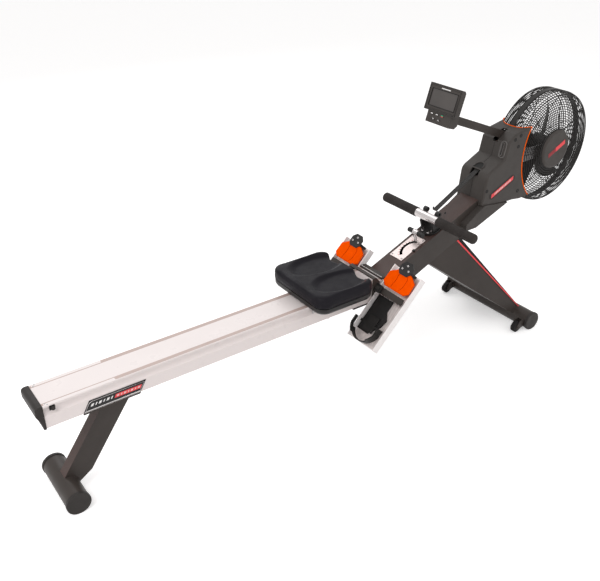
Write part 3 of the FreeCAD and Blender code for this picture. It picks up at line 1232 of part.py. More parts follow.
def make_housing():
    wall, half = s.housing_wall, s.housing_half
    sharp = [(s.nose_corner_back, s.nose_corner, 1, -1)]
    blunt = [(s.nose_top_back, s.nose_top, 0.4, -1), (s.nose_shoulder_back, s.nose_shoulder, 1, -0.3)]
    shell = prism("HousingRight", "XZ", half, housing_outline(0 * wall, 0 * wall, sharp))
    nose_x = number(HOUSE_X - s.nose_corner_back)
    round_edges(shell, "NoseRound", s.nose_radius,
                lambda edge: abs(edge.BoundBox.XMin - nose_x) < 0.01 and edge.BoundBox.XLength < 0.01)
    front = -number(s.cheek_foot_back) - 60 + number(HOUSE_X)

    def outer_edge(edge):
        box = edge.BoundBox
        on_face = abs(box.YMin + number(half)) < 0.01 and abs(box.YMax + number(half)) < 0.01
        return on_face and (box.XMin + box.XMax) / 2 < front
    round_edges(shell, "HousingEdges", s.housing_round, outer_edge)
    pocket(shell, "HousingHollow", "XZ", half - wall, housing_outline(wall, s.cage_half, blunt))
    put(shell, 0, 0, 0)

    gap = s.frame_gap
    tunnel = block("FrameTunnel", s.frame_length, s.frame_width + 2 * gap, s.frame_depth + 2 * gap)
    x, z = on_frame(gap, -s.frame_depth - gap)
    put(tunnel, x, -s.frame_width / 2 - gap, z, angle=s.frame_slope)
    clear = s.cage_radius + s.cage_gap
    cage = cross_rod("CageRoom", clear, FAN_X, FAN_Z, -s.cage_half - s.cage_gap, s.cage_half + s.cage_gap)
    mouth = rod("Mouth", s.mouth_radius, s.cage_radius, "z")
    mouth_x = HOUSE_X - s.mouth_back + s.mouth_radius
    put(mouth, mouth_x, 0, HOUSE_Z + s.block_foot)
    arm_x, arm_z = arm_pivot()
    slot_half = s.arm_width / 2 + 2
    arm_slot = block("ArmSlot", 82, 2 * slot_half, 60)
    put(arm_slot, arm_x - 66, -slot_half, arm_z - s.arm_height / 2 - 4)
    strap_slot = block("StrapSlot", 50, s.strap_width + 8, 16)
    on_strap(strap_slot, s.drum_along - 150, -s.strap_width / 2 - 4, -8)
    fairing = put(prism("FairingRoom", "XZ", 2 * half, fairing_outline(-s.frame_gap)), 0, 0, 0)
    right = node(cut("HousingRightCut", shell, tunnel, cage, mouth, arm_slot, strap_slot, fairing),
                 "housing_right")
    node(mirrored("HousingLeft", right), "housing_left")

    # Bead along the front edge of each cheek and across the top
    width, proud = s.trim_width, s.trim_proud
    bead = prism("TrimSide", "XZ", wall + proud, [
        (HOUSE_X - s.cheek_foot_back, HOUSE_Z + s.cheek_foot, -s.cheek_radius),
        (HOUSE_X - s.cheek_top_back, HOUSE_Z + s.cheek_top),
        (HOUSE_X - s.cheek_top_back + width, HOUSE_Z + s.cheek_top, s.cheek_radius),
        (HOUSE_X - s.cheek_foot_back + width, HOUSE_Z + s.cheek_foot),
    ])
    put(bead, 0, wall - half, 0)
    node(group("Trim", bead, mirrored("TrimSideLeft", bead)), "housing_trim")

    screws = []
    spots = ((228, 102), (258, 91), (235, 59), (386, -92), (199, -138))
    for i, (back, up) in enumerate(spots):
        screw = cross_rod("Screw%d" % i, s.screw_radius, HOUSE_X - back, HOUSE_Z + up,
                          -half - s.screw_proud, -half)
        screws.extend([screw, mirrored("ScrewLeft%d" % i, screw)])
    node(group("Screws", *screws), "housing_screws")


def fairing_outline(inset):
    return [
        (HOUSE_X - 485 + inset, HOUSE_Z - 234 + inset), (HOUSE_X - 429 - inset * 0.1, HOUSE_Z - 234 + inset),
        (HOUSE_X - 256 - inset * 2.4, HOUSE_Z - 167.5 - inset * 0.1),
        (HOUSE_X - 392 + inset * 0.2, HOUSE_Z - 150 - inset * 1.3),
        (HOUSE_X - 485 + inset, HOUSE_Z - 207 - inset * 0.6),
    ]


def make_fairings():
    """Covers on both sides of the frame below the housing."""
    thick = s.fairing_half - s.frame_width / 2 - s.fit_gap
    cover = prism("FairingRight", "XZ", thick, fairing_outline(0 * s.fairing_wall))
    pocket(cover, "FairingHollow", "XZ", thick - s.fairing_wall, fairing_outline(s.fairing_wall))
    put(cover, 0, -s.frame_width / 2 - s.fit_gap, 0)
    node(group("Fairings", cover, mirrored("FairingLeft", cover)), "side_fairings")


# ---------------------------------------------------------------- monitor and its arm

def arm_pivot():
    return HOUSE_X - s.arm_back, HOUSE_Z + s.arm_lift


def arm_tip():
    x, z = arm_pivot()
    return x - s.arm_length * cos(s.arm_rise), z + s.arm_length * sin(s.arm_rise)


def make_arm():
    half, end = s.arm_height / 2, s.arm_length
    bore = s.pin_radius + s.fit_gap
    arm = prism("Arm", "XZ", s.arm_width, [
        (0 * end, -half, half), (half, 0 * end, half), (0 * end, half), (-end, half, half),
        (-end - half, 0 * end, half), (-end, -half),
    ], [(0 * end, 0 * end, bore)], [(-end, 0 * end, bore)])
    x, z = arm_pivot()
    put(arm, x, s.arm_width / 2, z, axis=(0, 1, 0), angle=s.arm_rise)
    node(arm, "monitor_arm")


def on_monitor(obj, depth, y, up):
    """Place in the tilted frame of the monitor: depth behind its face, up from its lower edge."""
    tip_x, tip_z = arm_tip()
    d, u = depth - s.hinge_depth, up + s.hinge_drop
    x = tip_x + d * cos(s.monitor_tilt) + u * sin(s.monitor_tilt)
    z = tip_z - d * sin(s.monitor_tilt) + u * cos(s.monitor_tilt)
    return put(obj, x, y, z, axis=(0, 1, 0), angle=s.monitor_tilt)


KEYS = (("reset", -1.5, 1), ("recall", -0.5, 1), ("start", 0.5, 1), ("down", -1, 0), ("up", 0, 0))


def key_corner(column, line):
    """Lower right corner of a key on the key box."""
    y = s.key_pitch * -column - s.key_shift - s.key_width / 2
    up = -s.keybox_height * (0.28 if line else 0.707)
    return y, up


def make_monitor():
    width, height, thick = s.case_width, s.case_height, s.case_thick
    panel = prism("Panel", "XZ", width, [
        (0 * thick, 0 * thick), (thick, 0 * thick), (thick, height - thick / 3), (thick * 2 / 3, height),
        (0 * thick, height),
    ])
    on_monitor(panel, 0, width / 2, 0)
    bump = prism("Bump", "XZ", width * 0.8, [
        (thick, 0 * thick), (thick + s.bump_depth, height * 0.1), (thick + s.bump_depth, height * 0.3),
        (thick, height * 0.55),
    ])
    on_monitor(bump, 0, width * 0.4, 0)
    box_end = s.keybox_inset + s.keybox_depth
    keybox = prism("KeyBox", "XZ", s.keybox_width, [
        (s.keybox_inset, -s.keybox_height), (box_end - 12, -s.keybox_height), (box_end, 12 - s.keybox_height),
        (box_end, 0 * box_end), (s.keybox_inset, 0 * box_end),
    ])
    on_monitor(keybox, 0, s.keybox_width / 2, 0)
    ear_low = s.arm_width / 2 + s.ear_gap
    lugs = []
    for side, y in (("Left", ear_low + s.ear_thick), ("Right", -ear_low)):
        reach = s.hinge_depth + 10
        lug = prism("Lug" + side, "XZ", s.ear_thick, [
            (box_end - 1, -s.hinge_drop - 16), (reach, -s.hinge_drop - 8), (reach, -s.hinge_drop + 8),
            (box_end - 1, 0 * reach), (thick, 12 + 0 * reach), (thick, 0 * reach - 2),
        ])
        lugs.append(on_monitor(lug, 0, y, 0))
    tip_x, tip_z = arm_tip()
    pin = cross_rod("HingePin", s.pin_radius, tip_x, tip_z, -ear_low - s.ear_thick, ear_low + s.ear_thick)
    recess_low = (height - s.screen_height) / 2
    recess = block("ScreenRecess", s.screen_recess + s.screen_thick, s.screen_width, s.screen_height)
    on_monitor(recess, 0, -s.screen_width / 2, recess_low)
    slots = []
    gap = s.key_gap
    for label, column, line in KEYS:
        y, up = key_corner(column, line)
        slot = block("Slot" + label, s.key_depth + s.key_travel, s.key_width + 2 * gap, s.key_height + 2 * gap)
        slots.append(on_monitor(slot, s.keybox_inset, y - gap, up - gap))
    case = fuse("CaseParts", panel, bump, keybox, pin, *lugs)
    node(cut("Case", case, recess, *slots), "monitor_case")
    glass = block("Glass", s.screen_thick, s.screen_width, s.screen_height)
    node(on_monitor(glass, s.screen_recess, -s.screen_width / 2, recess_low), "monitor_screen")
    for label, column, line in KEYS:
        y, up = key_corner(column, line)
        key = block("Key" + label, s.key_depth, s.key_width, s.key_height)
        node(on_monitor(key, s.keybox_inset - s.key_travel, y, up), "key_" + label)


# ---------------------------------------------------------------- build and write

make_rail()
make_rear_cap()
make_badge_plates()
make_rear_leg()
make_foot("RearFoot", s.rear_foot_x, s.rear_foot_half, "rear")
make_joint()
make_frame_bolts()
make_main_frame()
make_front_leg()
make_foot("FrontFoot", FRONT_FOOT_X, s.front_foot_half, "front")
make_wheels()
make_heel_cups()
make_crossbar()
make_cross_tube()
make_toe_pads()
make_seat()
make_handle()
make_cradle()
make_scale()
make_lever()
make_cage()
make_fan()
make_fork()
make_drum()
make_housing()
make_fairings()
make_arm()
make_monitor()
DOC.recompute()

for obj in DOC.Objects:
    if "Invalid" in obj.State or "Error" in obj.State:
        raise ValueError("%s is not built: %s" % (obj.Label, obj.State))
os.makedirs("parts", exist_ok=True)
for obj in NODES:
    if obj.Shape.isNull() or not obj.Shape.isValid():
        raise ValueError(obj.Label + " has no valid shape")
    obj.Shape.exportStep("parts/%s.step" % obj.Label)
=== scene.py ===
import json
import math

import bmesh
import bpy
from mathutils import Matrix, Vector


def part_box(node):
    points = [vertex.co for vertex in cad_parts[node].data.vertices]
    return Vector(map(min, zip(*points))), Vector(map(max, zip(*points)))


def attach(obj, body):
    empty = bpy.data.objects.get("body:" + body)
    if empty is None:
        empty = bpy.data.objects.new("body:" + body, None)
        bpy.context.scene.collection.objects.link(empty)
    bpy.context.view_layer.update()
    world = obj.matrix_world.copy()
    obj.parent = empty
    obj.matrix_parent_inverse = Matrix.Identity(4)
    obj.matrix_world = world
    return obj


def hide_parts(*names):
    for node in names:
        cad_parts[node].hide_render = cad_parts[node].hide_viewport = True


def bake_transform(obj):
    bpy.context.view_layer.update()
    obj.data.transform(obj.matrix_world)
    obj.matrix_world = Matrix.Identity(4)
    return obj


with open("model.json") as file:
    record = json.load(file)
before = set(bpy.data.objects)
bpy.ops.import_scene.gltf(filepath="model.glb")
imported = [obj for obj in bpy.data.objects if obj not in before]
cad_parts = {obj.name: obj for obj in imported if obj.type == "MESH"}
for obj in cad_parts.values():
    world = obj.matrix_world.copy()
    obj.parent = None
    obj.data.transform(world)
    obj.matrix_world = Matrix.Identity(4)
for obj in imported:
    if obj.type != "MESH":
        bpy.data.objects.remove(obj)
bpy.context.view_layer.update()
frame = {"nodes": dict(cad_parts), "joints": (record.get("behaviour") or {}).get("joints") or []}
NODES = frame["nodes"]
JOINTS = {j["name"]: j for j in frame["joints"]}

# Metres, in the row frame: X along the rail to the fan, Y to the rower's left, Z up.
SLOPE = math.radians(23)        # main frame
TRAY = math.radians(46)         # footplates
TILT = math.radians(17.1)       # monitor
RISE = math.radians(28.3)       # pull strap
LEG_RAKE = math.radians(35.3)   # front face of the rear leg
NOSE_RISE = 0.1943              # rise per length of the housing's top, towards the guard

KEYS = ("reset", "recall", "start", "down", "up")
SIDES = (("right", -1), ("left", 1))


# ------------------------------------------------------------ materials

class Shader:
    """A node material around one Principled shader."""

    def __init__(self, name, colour, rough, metal=0.0, coat=0.0, sheen=0.0, spec=0.5):
        self.mat = bpy.data.materials.new(name)
        self.mat.use_nodes = True
        self.tree = self.mat.node_tree
        self.bsdf = self.tree.nodes["Principled BSDF"]
        self.colour = colour
        self.set("Base Color", (*colour, 1))
        self.set("Roughness", rough)
        self.set("Metallic", metal)
        self.set("Coat Weight", coat)
        self.set("Sheen Weight", sheen)
        self.set("Specular IOR Level", spec)
        self.coords = self.tree.nodes.new("ShaderNodeTexCoord").outputs["Object"]
        self.heights = None

    def set(self, name, value):
        self.bsdf.inputs[name].default_value = value

    def node(self, kind, links=(), **values):
        made = self.tree.nodes.new("ShaderNode" + kind)
        for name, value in values.items():
            if name in made.inputs:
                made.inputs[name].default_value = value
            else:
                setattr(made, name, value)
        for source, socket in links:
            self.tree.links.new(source, made.inputs[socket])
        return made

    def stretched(self, scale):
        """Object coordinates stretched by a scale for each axis."""
        return self.node("Mapping", [(self.coords, "Vector")], Scale=scale).outputs["Vector"]

    def noise(self, scale, detail=3.0, stretch=(1, 1, 1)):
        made = self.node("TexNoise", [(self.stretched(stretch), "Vector")], Scale=scale, Detail=detail)
        return made.outputs["Fac"]

    def spread(self, value, low, high, out_low, out_high):
        made = self.node("MapRange", [(value, "Value")])
        limits = {"From Min": low, "From Max": high, "To Min": out_low, "To Max": out_high}
        for name, number in limits.items():
            made.inputs[name].default_value = number
        return made.outputs["Result"]

    def mottle(self, scale, amount, detail=4.0, stretch=(1, 1, 1)):
        """Lighten and darken the colour in soft patches."""
        factor = self.spread(self.noise(scale, detail, stretch), 0.3, 0.7, 0, 1)
        mix = self.node("Mix", data_type="RGBA")
        low = [c * (1 - amount) for c in self.colour]
        high = [min(1, c * (1 + amount) + amount * 0.02) for c in self.colour]
        mix.inputs[6].default_value = (*low, 1)
        mix.inputs[7].default_value = (*high, 1)
        self.tree.links.new(factor, mix.inputs[0])
        self.tree.links.new(mix.outputs[2], self.bsdf.inputs["Base Color"])
        return self

    def rough_patches(self, scale, low, high, stretch=(1, 1, 1)):
        """Let the roughness wander between two values."""
        value = self.spread(self.noise(scale, 4.0, stretch), 0.3, 0.7, low, high)
        self.tree.links.new(value, self.bsdf.inputs["Roughness"])
        return self

    def bump(self, height, distance):
        """Raise the surface by a height field, on top of earlier ones."""
        made = self.node("Bump", [(height, "Height")], Strength=1.0, Distance=distance)
        if self.heights:
            self.tree.links.new(self.heights, made.inputs["Normal"])
        self.heights = made.outputs["Normal"]
        self.tree.links.new(self.heights, self.bsdf.inputs["Normal"])
        return self

    def grain(self, scale, distance, stretch=(1, 1, 1)):
        return self.bump(self.noise(scale, 2.0, stretch), distance)

    def pebble(self, scale, distance):
        """Leather-like cells."""
        cells = self.node("TexVoronoi", [(self.coords, "Vector")], Scale=scale)
        return self.bump(cells.outputs["Distance"], distance)

    def weave(self, scale, distance):
        """Two crossing bands of thread."""
        warp, weft = [self.node("TexWave", [(self.coords, "Vector")], Scale=scale, bands_direction=axis)
                      for axis in ("X", "Y")]
        both = self.node("Math", [(warp.outputs["Fac"], 0), (weft.outputs["Fac"], 1)], operation="ADD")
        return self.bump(both.outputs[0], distance)


def plastic(name, colour, rough=0.42, amount=0.12, grain=900, depth=0.00012, spec=0.24):
    """Moulded plastic or rubber with a fine grain."""
    made = Shader(name, colour, rough, spec=spec)
    return made.mottle(14, amount).rough_patches(30, rough - 0.05, rough + 0.08).grain(grain, depth).mat


def sheet_material():
    """Thin bright sheet with marks drawn along it."""
    made = Shader("tray_sheet", (0.72, 0.65, 0.63), 0.34, metal=0.35, spec=0.4)
    return made.mottle(26, 0.16, 3.0, (1, 9, 1)).grain(300, 0.00004, (1, 12, 1)).mat


def coated(name, colour, rough=0.32, amount=0.06, coat=0.12):
    """Powder coated or painted metal."""
    made = Shader(name, colour, rough, coat=coat, spec=0.21)
    made.set("Coat Roughness", 0.25)
    return made.mottle(9, amount).rough_patches(22, rough - 0.05, rough + 0.06).grain(520, 0.00008).mat


def brushed(name, colour, rough=0.25, stretch=(1, 30, 30), amount=0.08):
    """Bare metal with lines along its short way of stretching."""
    made = Shader(name, colour, rough, metal=1.0)
    made.mottle(60, amount, stretch=stretch)
    return made.rough_patches(90, rough - 0.06, rough + 0.1, stretch).grain(260, 0.00003, stretch).mat


DARK = (0.041, 0.033, 0.029)
M = {
    "rail": coated("rail_paint", (0.79, 0.718, 0.703), 0.3, 0.008),
    "strip": coated("strip_steel", (0.50, 0.385, 0.35), 0.4, 0.05),
    "frame": coated("frame_paint", DARK, 0.42, 0.1, 0.03),
    # A browner, lighter copy of the frame paint: painted sheen for faces that look up and rearward into the
    # light.
    "frame_painted_sheen": coated("frame_paint_painted_sheen", (0.056, 0.032, 0.027), 0.42, 0.1, 0.04),
    "plate": coated("plate_black", (0.016, 0.015, 0.015), 0.35, 0.1, 0.06),
    "white": plastic("tray_white", (0.93, 0.88, 0.87), 0.4, 0.02),
    "seam": Shader("pad_seam", (0.42, 0.025, 0.0), 0.8, spec=0.0).mottle(60, 0.1).mat,
    "shell": plastic("shell_grey", (0.052, 0.045, 0.041), 0.44, 0.08, 700, 0.00006, 0.2),
    "black": plastic("black_plastic", (0.014, 0.013, 0.0125), 0.45, 0.15),
    # Dark plastic of caps and keys; also painted shade where flat plates stand for recesses.
    "cap": plastic("cap_plastic_and_painted_recess_shade", (0.032, 0.028, 0.026), 0.5, 0.12, 600, 0.0002, 0.18),
    "rubber": plastic("rubber_sole", (0.013, 0.012, 0.012), 0.62, 0.2, 420, 0.0004, 0.18),
    "tyre": plastic("tyre_rubber", (0.012, 0.011, 0.011), 0.7, 0.2, 500, 0.0004, 0.18),
    "foam": plastic("grip_foam", (0.031, 0.026, 0.024), 0.75, 0.2, 1100, 0.0005, 0.15),
    "chrome": brushed("bright_steel", (0.56, 0.525, 0.52), 0.2, (1, 1, 1), 0.03),
    "steel": brushed("plain_steel", (0.36, 0.35, 0.35), 0.3),
    "alloy": brushed("scale_alloy", (0.52, 0.45, 0.435), 0.34, (40, 1, 40), 0.16),
    "sheet": sheet_material(),
    # A lighter copy of the shell plastic: painted highlight along raised edges.
    "edge": plastic("edge_painted_highlight", (0.13, 0.12, 0.115), 0.32, 0.08, 600, 0.0001, 0.3),
    "skirt": plastic("seat_tray_black", (0.012, 0.011, 0.011), 0.4, 0.12),
    "wire": coated("guard_wire", (0.016, 0.014, 0.013), 0.45, 0.1, 0.0),
    "fan": plastic("fan_plastic", (0.016, 0.015, 0.014), 0.45, 0.15),
    "glass": Shader("display_glass", (0.056, 0.047, 0.043), 0.3, coat=0.08).mottle(6, 0.2).mat,
    # Near-black: real dark joints, and painted shade in holes, wells, the strap's mouth, behind the stop peg
    # and on the front leg's turned-away edge.
    "dark_line": Shader("dark_joints_and_painted_shade", (0.008, 0.0075, 0.007), 0.6, spec=0.2).mottle(40, 0.2).mat,
}


def orange_material():
    made = Shader("orange_gloss", (1.0, 0.13, 0.0), 0.6, spec=0.0)
    return made.mottle(25, 0.05).grain(700, 0.00005).mat


def orange_cloth():
    made = Shader("orange_cloth", (1.0, 0.088, 0.0), 0.8, spec=0.0)
    return made.mottle(40, 0.05).weave(620, 0.0001).mat


def webbing_material():
    made = Shader("strap_webbing", (0.022, 0.02, 0.019), 0.7, sheen=0.1, spec=0.25)
    return made.mottle(120, 0.25).weave(700, 0.0002).mat


def leather_material():
    made = Shader("seat_skin", (0.0086, 0.0074, 0.0105), 0.5, spec=0.1)
    return made.mottle(11, 0.12).rough_patches(35, 0.4, 0.54).pebble(900, 0.0001).mat


def foil(name, colour, spec):
    """Printed foil."""
    made = Shader(name, colour, 0.5, spec=spec)
    return made.mottle(30, 0.06).grain(500, 0.00004).mat


M["orange"] = orange_material()
M["cloth"] = orange_cloth()
M["webbing"] = webbing_material()
M["leather"] = leather_material()
M["red"] = foil("red_stripe", (0.86, 0.085, 0.095), 0.2)
M["red_dark"] = foil("red_dark", (0.28, 0.028, 0.034), 0.25)
M["pale"] = plastic("pale_print", (0.82, 0.6, 0.58), 0.45, 0.04)
M["print"] = plastic("white_print", (0.8, 0.78, 0.77), 0.5, 0.03)
M["green"] = plastic("green_print", (0.03, 0.32, 0.17), 0.5, 0.06)
M["key_red"] = plastic("red_print", (0.42, 0.10, 0.09), 0.5, 0.06)


def paint(material, *names):
    """Give CAD nodes a material."""
    for name in names:
        data = NODES[name].data
        data.materials.clear()
        data.materials.append(M[material])


paint("rail", "rail")
paint("strip", "track_strips")
paint("plate", "badge_plates")
paint("cap", "rear_end_cap", "rear_foot_caps", "front_foot_caps")
paint("frame", "rear_leg", "rear_foot_tube", "joint_plate", "main_frame", "front_leg", "front_foot_tube",
      "wheel_brackets", "foot_crossbar", "footrest_tube", "monitor_arm")
paint("chrome", "frame_bolts", "handle_sleeve")
paint("tyre", "wheel_left", "wheel_right")
paint("white", "footplate_left", "footplate_right")
paint("rubber", "foot_beds")
paint("black", "heel_cup_left", "heel_cup_right", "toe_brackets", "seat_pan", "handle_cradle",
      "resistance_lever", "housing_screws", "rollers_front", "rollers_rear", "strap_drum", "drive_belt")
paint("steel", "seat_carriage", "handle_bar", "fan_axle", "fan_fork", "arm_bracket")
paint("foam", "handle_grips")
paint("webbing", "handle_strap")
paint("alloy", "scale_plate")
paint("wire", "cage_rim", "cage_left", "cage_right")
paint("fan", "fan_wheel")
paint("shell", "hub_caps", "housing_left", "housing_right", "side_fairings", "monitor_case")
paint("orange", "housing_trim", "toe_pads")
paint("glass", "monitor_screen")
paint("leather", "seat_pad")
paint("cap", *["key_" + key for key in KEYS])


def paint_facing(name, material, direction):
    """Give the faces of a CAD node that look one way a second material."""
    obj = NODES[name]
    slot = len(obj.data.materials)
    obj.data.materials.append(M[material])
    turn = obj.matrix_world.to_3x3()
    for face in obj.data.polygons:
        if (turn @ face.normal).normalized().dot(Vector(direction)) > 0.9:
            face.material_index = slot


# Faces of the frame and rear leg that look up or rearward take the browner copy: painted sheen where the
# light falls.
paint_facing("main_frame", "frame_painted_sheen", (-math.sin(SLOPE), 0, math.cos(SLOPE)))
paint_facing("rear_leg", "frame_painted_sheen", (-math.cos(LEG_RAKE), 0, math.sin(LEG_RAKE)))


# ------------------------------------------------------------ light, floor and camera

SKY_LIGHT = 0.55        # strength of the world as light
FLOOR_GLOW = 0.41       # what the floor lacks to white where it is seen


def aimed(location, direction):
    """The place of a light or camera that looks along a direction."""
    return Matrix.Translation(location) @ direction.to_track_quat("-Z", "Y").to_matrix().to_4x4()


def area_light(name, location, target, size, power):
    data = bpy.data.lights.new(name, "AREA")
    data.size = size
    data.energy = power
    made = bpy.data.objects.new(name, data)
    bpy.context.scene.collection.objects.link(made)
    made.matrix_world = aimed(location, (Vector(target) - Vector(location)).normalized())


def seen_directly(tree):
    """1 for what the camera sees, also in bright metal and through glass; 0 for other light."""
    paths = tree.nodes.new("ShaderNodeLightPath")
    value = paths.outputs["Is Camera Ray"]
    for name in ("Is Glossy Ray", "Is Transmission Ray"):
        either = tree.nodes.new("ShaderNodeMath")
        either.operation = "MAXIMUM"
        tree.links.new(value, either.inputs[0])
        tree.links.new(paths.outputs[name], either.inputs[1])
        value = either.outputs[0]
    return value


def make_world():
    """Soft grey light; white for the camera, in bright metal and through glass."""
    world = bpy.data.worlds.new("studio")
    bpy.context.scene.world = world
    world.use_nodes = True
    tree = world.node_tree
    back = tree.nodes["Background"]
    back.inputs["Color"].default_value = (1, 1, 1, 1)
    level = tree.nodes.new("ShaderNodeMapRange")
    level.inputs["To Min"].default_value = SKY_LIGHT
    level.inputs["To Max"].default_value = 1.0
    tree.links.new(seen_directly(tree), level.inputs["Value"])
    tree.links.new(level.outputs["Result"], back.inputs["Strength"])


def make_floor():
    """A white floor that keeps the object's shadow."""
    bpy.ops.mesh.primitive_plane_add(size=30, location=(0, 0, -0.0005))
    floor = bpy.context.object
    floor.name = "floor"
    mat = bpy.data.materials.new("floor_white")
    mat.use_nodes = True
    tree = mat.node_tree
    tree.nodes["Principled BSDF"].inputs["Base Color"].default_value = (0.95, 0.935, 0.93, 1)
    tree.nodes["Principled BSDF"].inputs["Roughness"].default_value = 0.9
    glow = tree.nodes.new("ShaderNodeEmission")
    glow.inputs["Color"].default_value = (1, 1, 1, 1)
    share = tree.nodes.new("ShaderNodeMath")
    share.operation = "MULTIPLY"
    share.inputs[1].default_value = FLOOR_GLOW
    tree.links.new(seen_directly(tree), share.inputs[0])
    tree.links.new(share.outputs[0], glow.inputs["Strength"])
    added = tree.nodes.new("ShaderNodeAddShader")
    tree.links.new(tree.nodes["Principled BSDF"].outputs[0], added.inputs[0])
    tree.links.new(glow.outputs[0], added.inputs[1])
    tree.links.new(added.outputs[0], tree.nodes["Material Output"].inputs["Surface"])
    floor.data.materials.append(mat)


def make_camera():
    data = bpy.data.cameras.new("camera")
    data.sensor_width = 36
    data.lens = 45.46
    data.clip_end = 60
    made = bpy.data.objects.new("camera", data)
    bpy.context.scene.collection.objects.link(made)
    made.matrix_world = aimed((-1.584, -1.880, 1.781), Vector((0.503, 0.703, -0.503)))
    bpy.context.scene.camera = made


# ------------------------------------------------------------ places in the row frame

RAIL_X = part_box("rail")[0].x    # rear end of the rail
FAN = Vector(JOINTS["fan_spin"]["pos_m"])
HINGE = Vector(JOINTS["monitor_tilt"]["pos_m"])
FAN_RADIUS = (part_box("cage_rim")[1].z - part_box("cage_rim")[0].z) / 2
CAGE_HALF = 0.0545
HUB_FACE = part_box("hub_caps")[0].y
CAD_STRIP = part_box("track_strips")


def at(x, y, z):
    """A point from millimetres ahead of the rail's rear end, to the left and up."""
    return Vector((RAIL_X + x / 1000, y / 1000, z / 1000))


def slope(origin, angle):
    """A local frame: X up a slope in the XZ plane, Y to the left, Z out of the slope."""
    c, s = math.cos(angle), math.sin(angle)
    return Matrix(((c, 0, -s, origin.x), (0, 1, 0, origin.y), (s, 0, c, origin.z), (0, 0, 0, 1)))


def facing_right(origin, angle=0.0):
    """A local frame on a right side face: X forward and up by the angle, Z out to the right."""
    c, s = math.cos(angle), math.sin(angle)
    return Matrix(((c, -s, 0, origin.x), (0, 0, -1, origin.y), (s, c, 0, origin.z), (0, 0, 0, 1)))


MONITOR = slope(HINGE, -TILT) @ Matrix.Translation((-0.080, 0, 0.012))
HANDLE = (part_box("handle_bar")[0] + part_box("handle_bar")[1]) / 2


def tray(side):
    """The footplate's local frame, from its lower end."""
    return slope(at(1135, 143 * side, 213), TRAY)


# ------------------------------------------------------------ shapes

def add(name, data, place, material, body, rounding=0.0):
    """A new piece on a CAD body, with its edges rounded."""
    obj = bpy.data.objects.new(name, data)
    bpy.context.scene.collection.objects.link(obj)
    obj.matrix_world = place
    data.materials.append(M[material])
    if isinstance(data, bpy.types.Mesh):
        smooth(data)
    if rounding:
        bevel = obj.modifiers.new("round", "BEVEL")
        bevel.width = rounding
        bevel.segments = 3
        bevel.limit_method = "ANGLE"
        bevel.angle_limit = math.radians(35)
        bevel.harden_normals = True
    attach(obj, body)
    return obj


def smooth(mesh, angle=38):
    """Shade a mesh smooth, but for edges sharper than the angle."""
    mesh.polygons.foreach_set("use_smooth", [True] * len(mesh.polygons))
    mesh.set_sharp_from_angle(angle=math.radians(angle))


def mesh_of(name, bm):
    """A mesh from a bmesh, which is used up."""
    bmesh.ops.recalc_face_normals(bm, faces=bm.faces)
    mesh = bpy.data.meshes.new(name)
    bm.to_mesh(mesh)
    bm.free()
    return mesh


def thicken(bm, shift):
    """Give the flat face of a bmesh a thickness."""
    made = bmesh.ops.extrude_face_region(bm, geom=list(bm.faces))["geom"]
    bmesh.ops.translate(bm, vec=shift, verts=[v for v in made if isinstance(v, bmesh.types.BMVert)])


def skin(bm, top, under):
    """Faces over two grids of points of one size, and round their border."""
    rows, columns = len(top) - 1, len(top[0]) - 1
    for grid in (top, under):
        for i in range(rows):
            for j in range(columns):
                bm.faces.new((grid[i][j], grid[i + 1][j], grid[i + 1][j + 1], grid[i][j + 1]))
    border = [(0, j) for j in range(columns)] + [(i, columns) for i in range(rows)]
    border += [(rows, j) for j in range(columns, 0, -1)] + [(i, 0) for i in range(rows, 0, -1)]
    for (i, j), (m, n) in zip(border, border[1:] + border[:1]):
        bm.faces.new((top[i][j], top[m][n], under[m][n], under[i][j]))


def plate(name, outline, thick, place, material, body, rounding=0.0):
    """A flat outline, in metres, thickened along the local Z."""
    bm = bmesh.new()
    bm.faces.new([bm.verts.new((x, y, 0)) for x, y in outline])
    thicken(bm, (0, 0, thick))
    return add(name, mesh_of(name, bm), place, material, body, rounding)


def turned(name, profile, place, material, body, steps=64):
    """A profile of (radius, height) turned about the local Z, open or closed at its ends."""
    bm = bmesh.new()
    rings = []
    for radius, height in profile:
        if radius < 1e-6:
            rings.append([bm.verts.new((0, 0, height))])
            continue
        turn = [2 * math.pi * i / steps for i in range(steps)]
        rings.append([bm.verts.new((radius * math.cos(a), radius * math.sin(a), height)) for a in turn])
    for low, high in zip(rings, rings[1:]):
        for i in range(steps):
            j = (i + 1) % steps
            corners = [low[i % len(low)], low[j % len(low)], high[j % len(high)], high[i % len(high)]]
            bm.faces.new(list(dict.fromkeys(corners)))
    return add(name, mesh_of(name, bm), place, material, body)


def wires(name, lines, radius, material, body, place=Matrix.Identity(4)):
    """Round wires along lines, each a list of points and whether it closes on itself."""
    data = bpy.data.curves.new(name, "CURVE")
    data.dimensions = "3D"
    data.bevel_depth = radius
    data.bevel_resolution = 2
    for points, closed in lines:
        spline = data.splines.new("POLY")
        spline.points.add(len(points) - 1)
        for spot, point in zip(spline.points, points):
            spot.co = (*point, 1)
        spline.use_cyclic_u = closed
        spline.use_smooth = True
    return add(name, data, place, material, body)


def oblong(length, width, corner, steps=8):
    """Outline of a rounded rectangle about the local origin."""
    points = []
    for k, (sx, sy) in enumerate(((1, 1), (-1, 1), (-1, -1), (1, -1))):
        for i in range(steps + 1):
            a = math.pi / 2 * (k + i / steps)
            points.append((sx * (length / 2 - corner) + corner * math.cos(a),
                           sy * (width / 2 - corner) + corner * math.sin(a)))
    return points


def dense(outline, gap):
    """The closed outline with points added where they lie further apart than the gap."""
    points = []
    for (x0, y0), (x1, y1) in zip(outline, outline[1:] + outline[:1]):
        count = max(1, math.ceil(math.hypot(x1 - x0, y1 - y0) / gap))
        points += [(x0 + (x1 - x0) * i / count, y0 + (y1 - y0) * i / count) for i in range(count)]
    return points


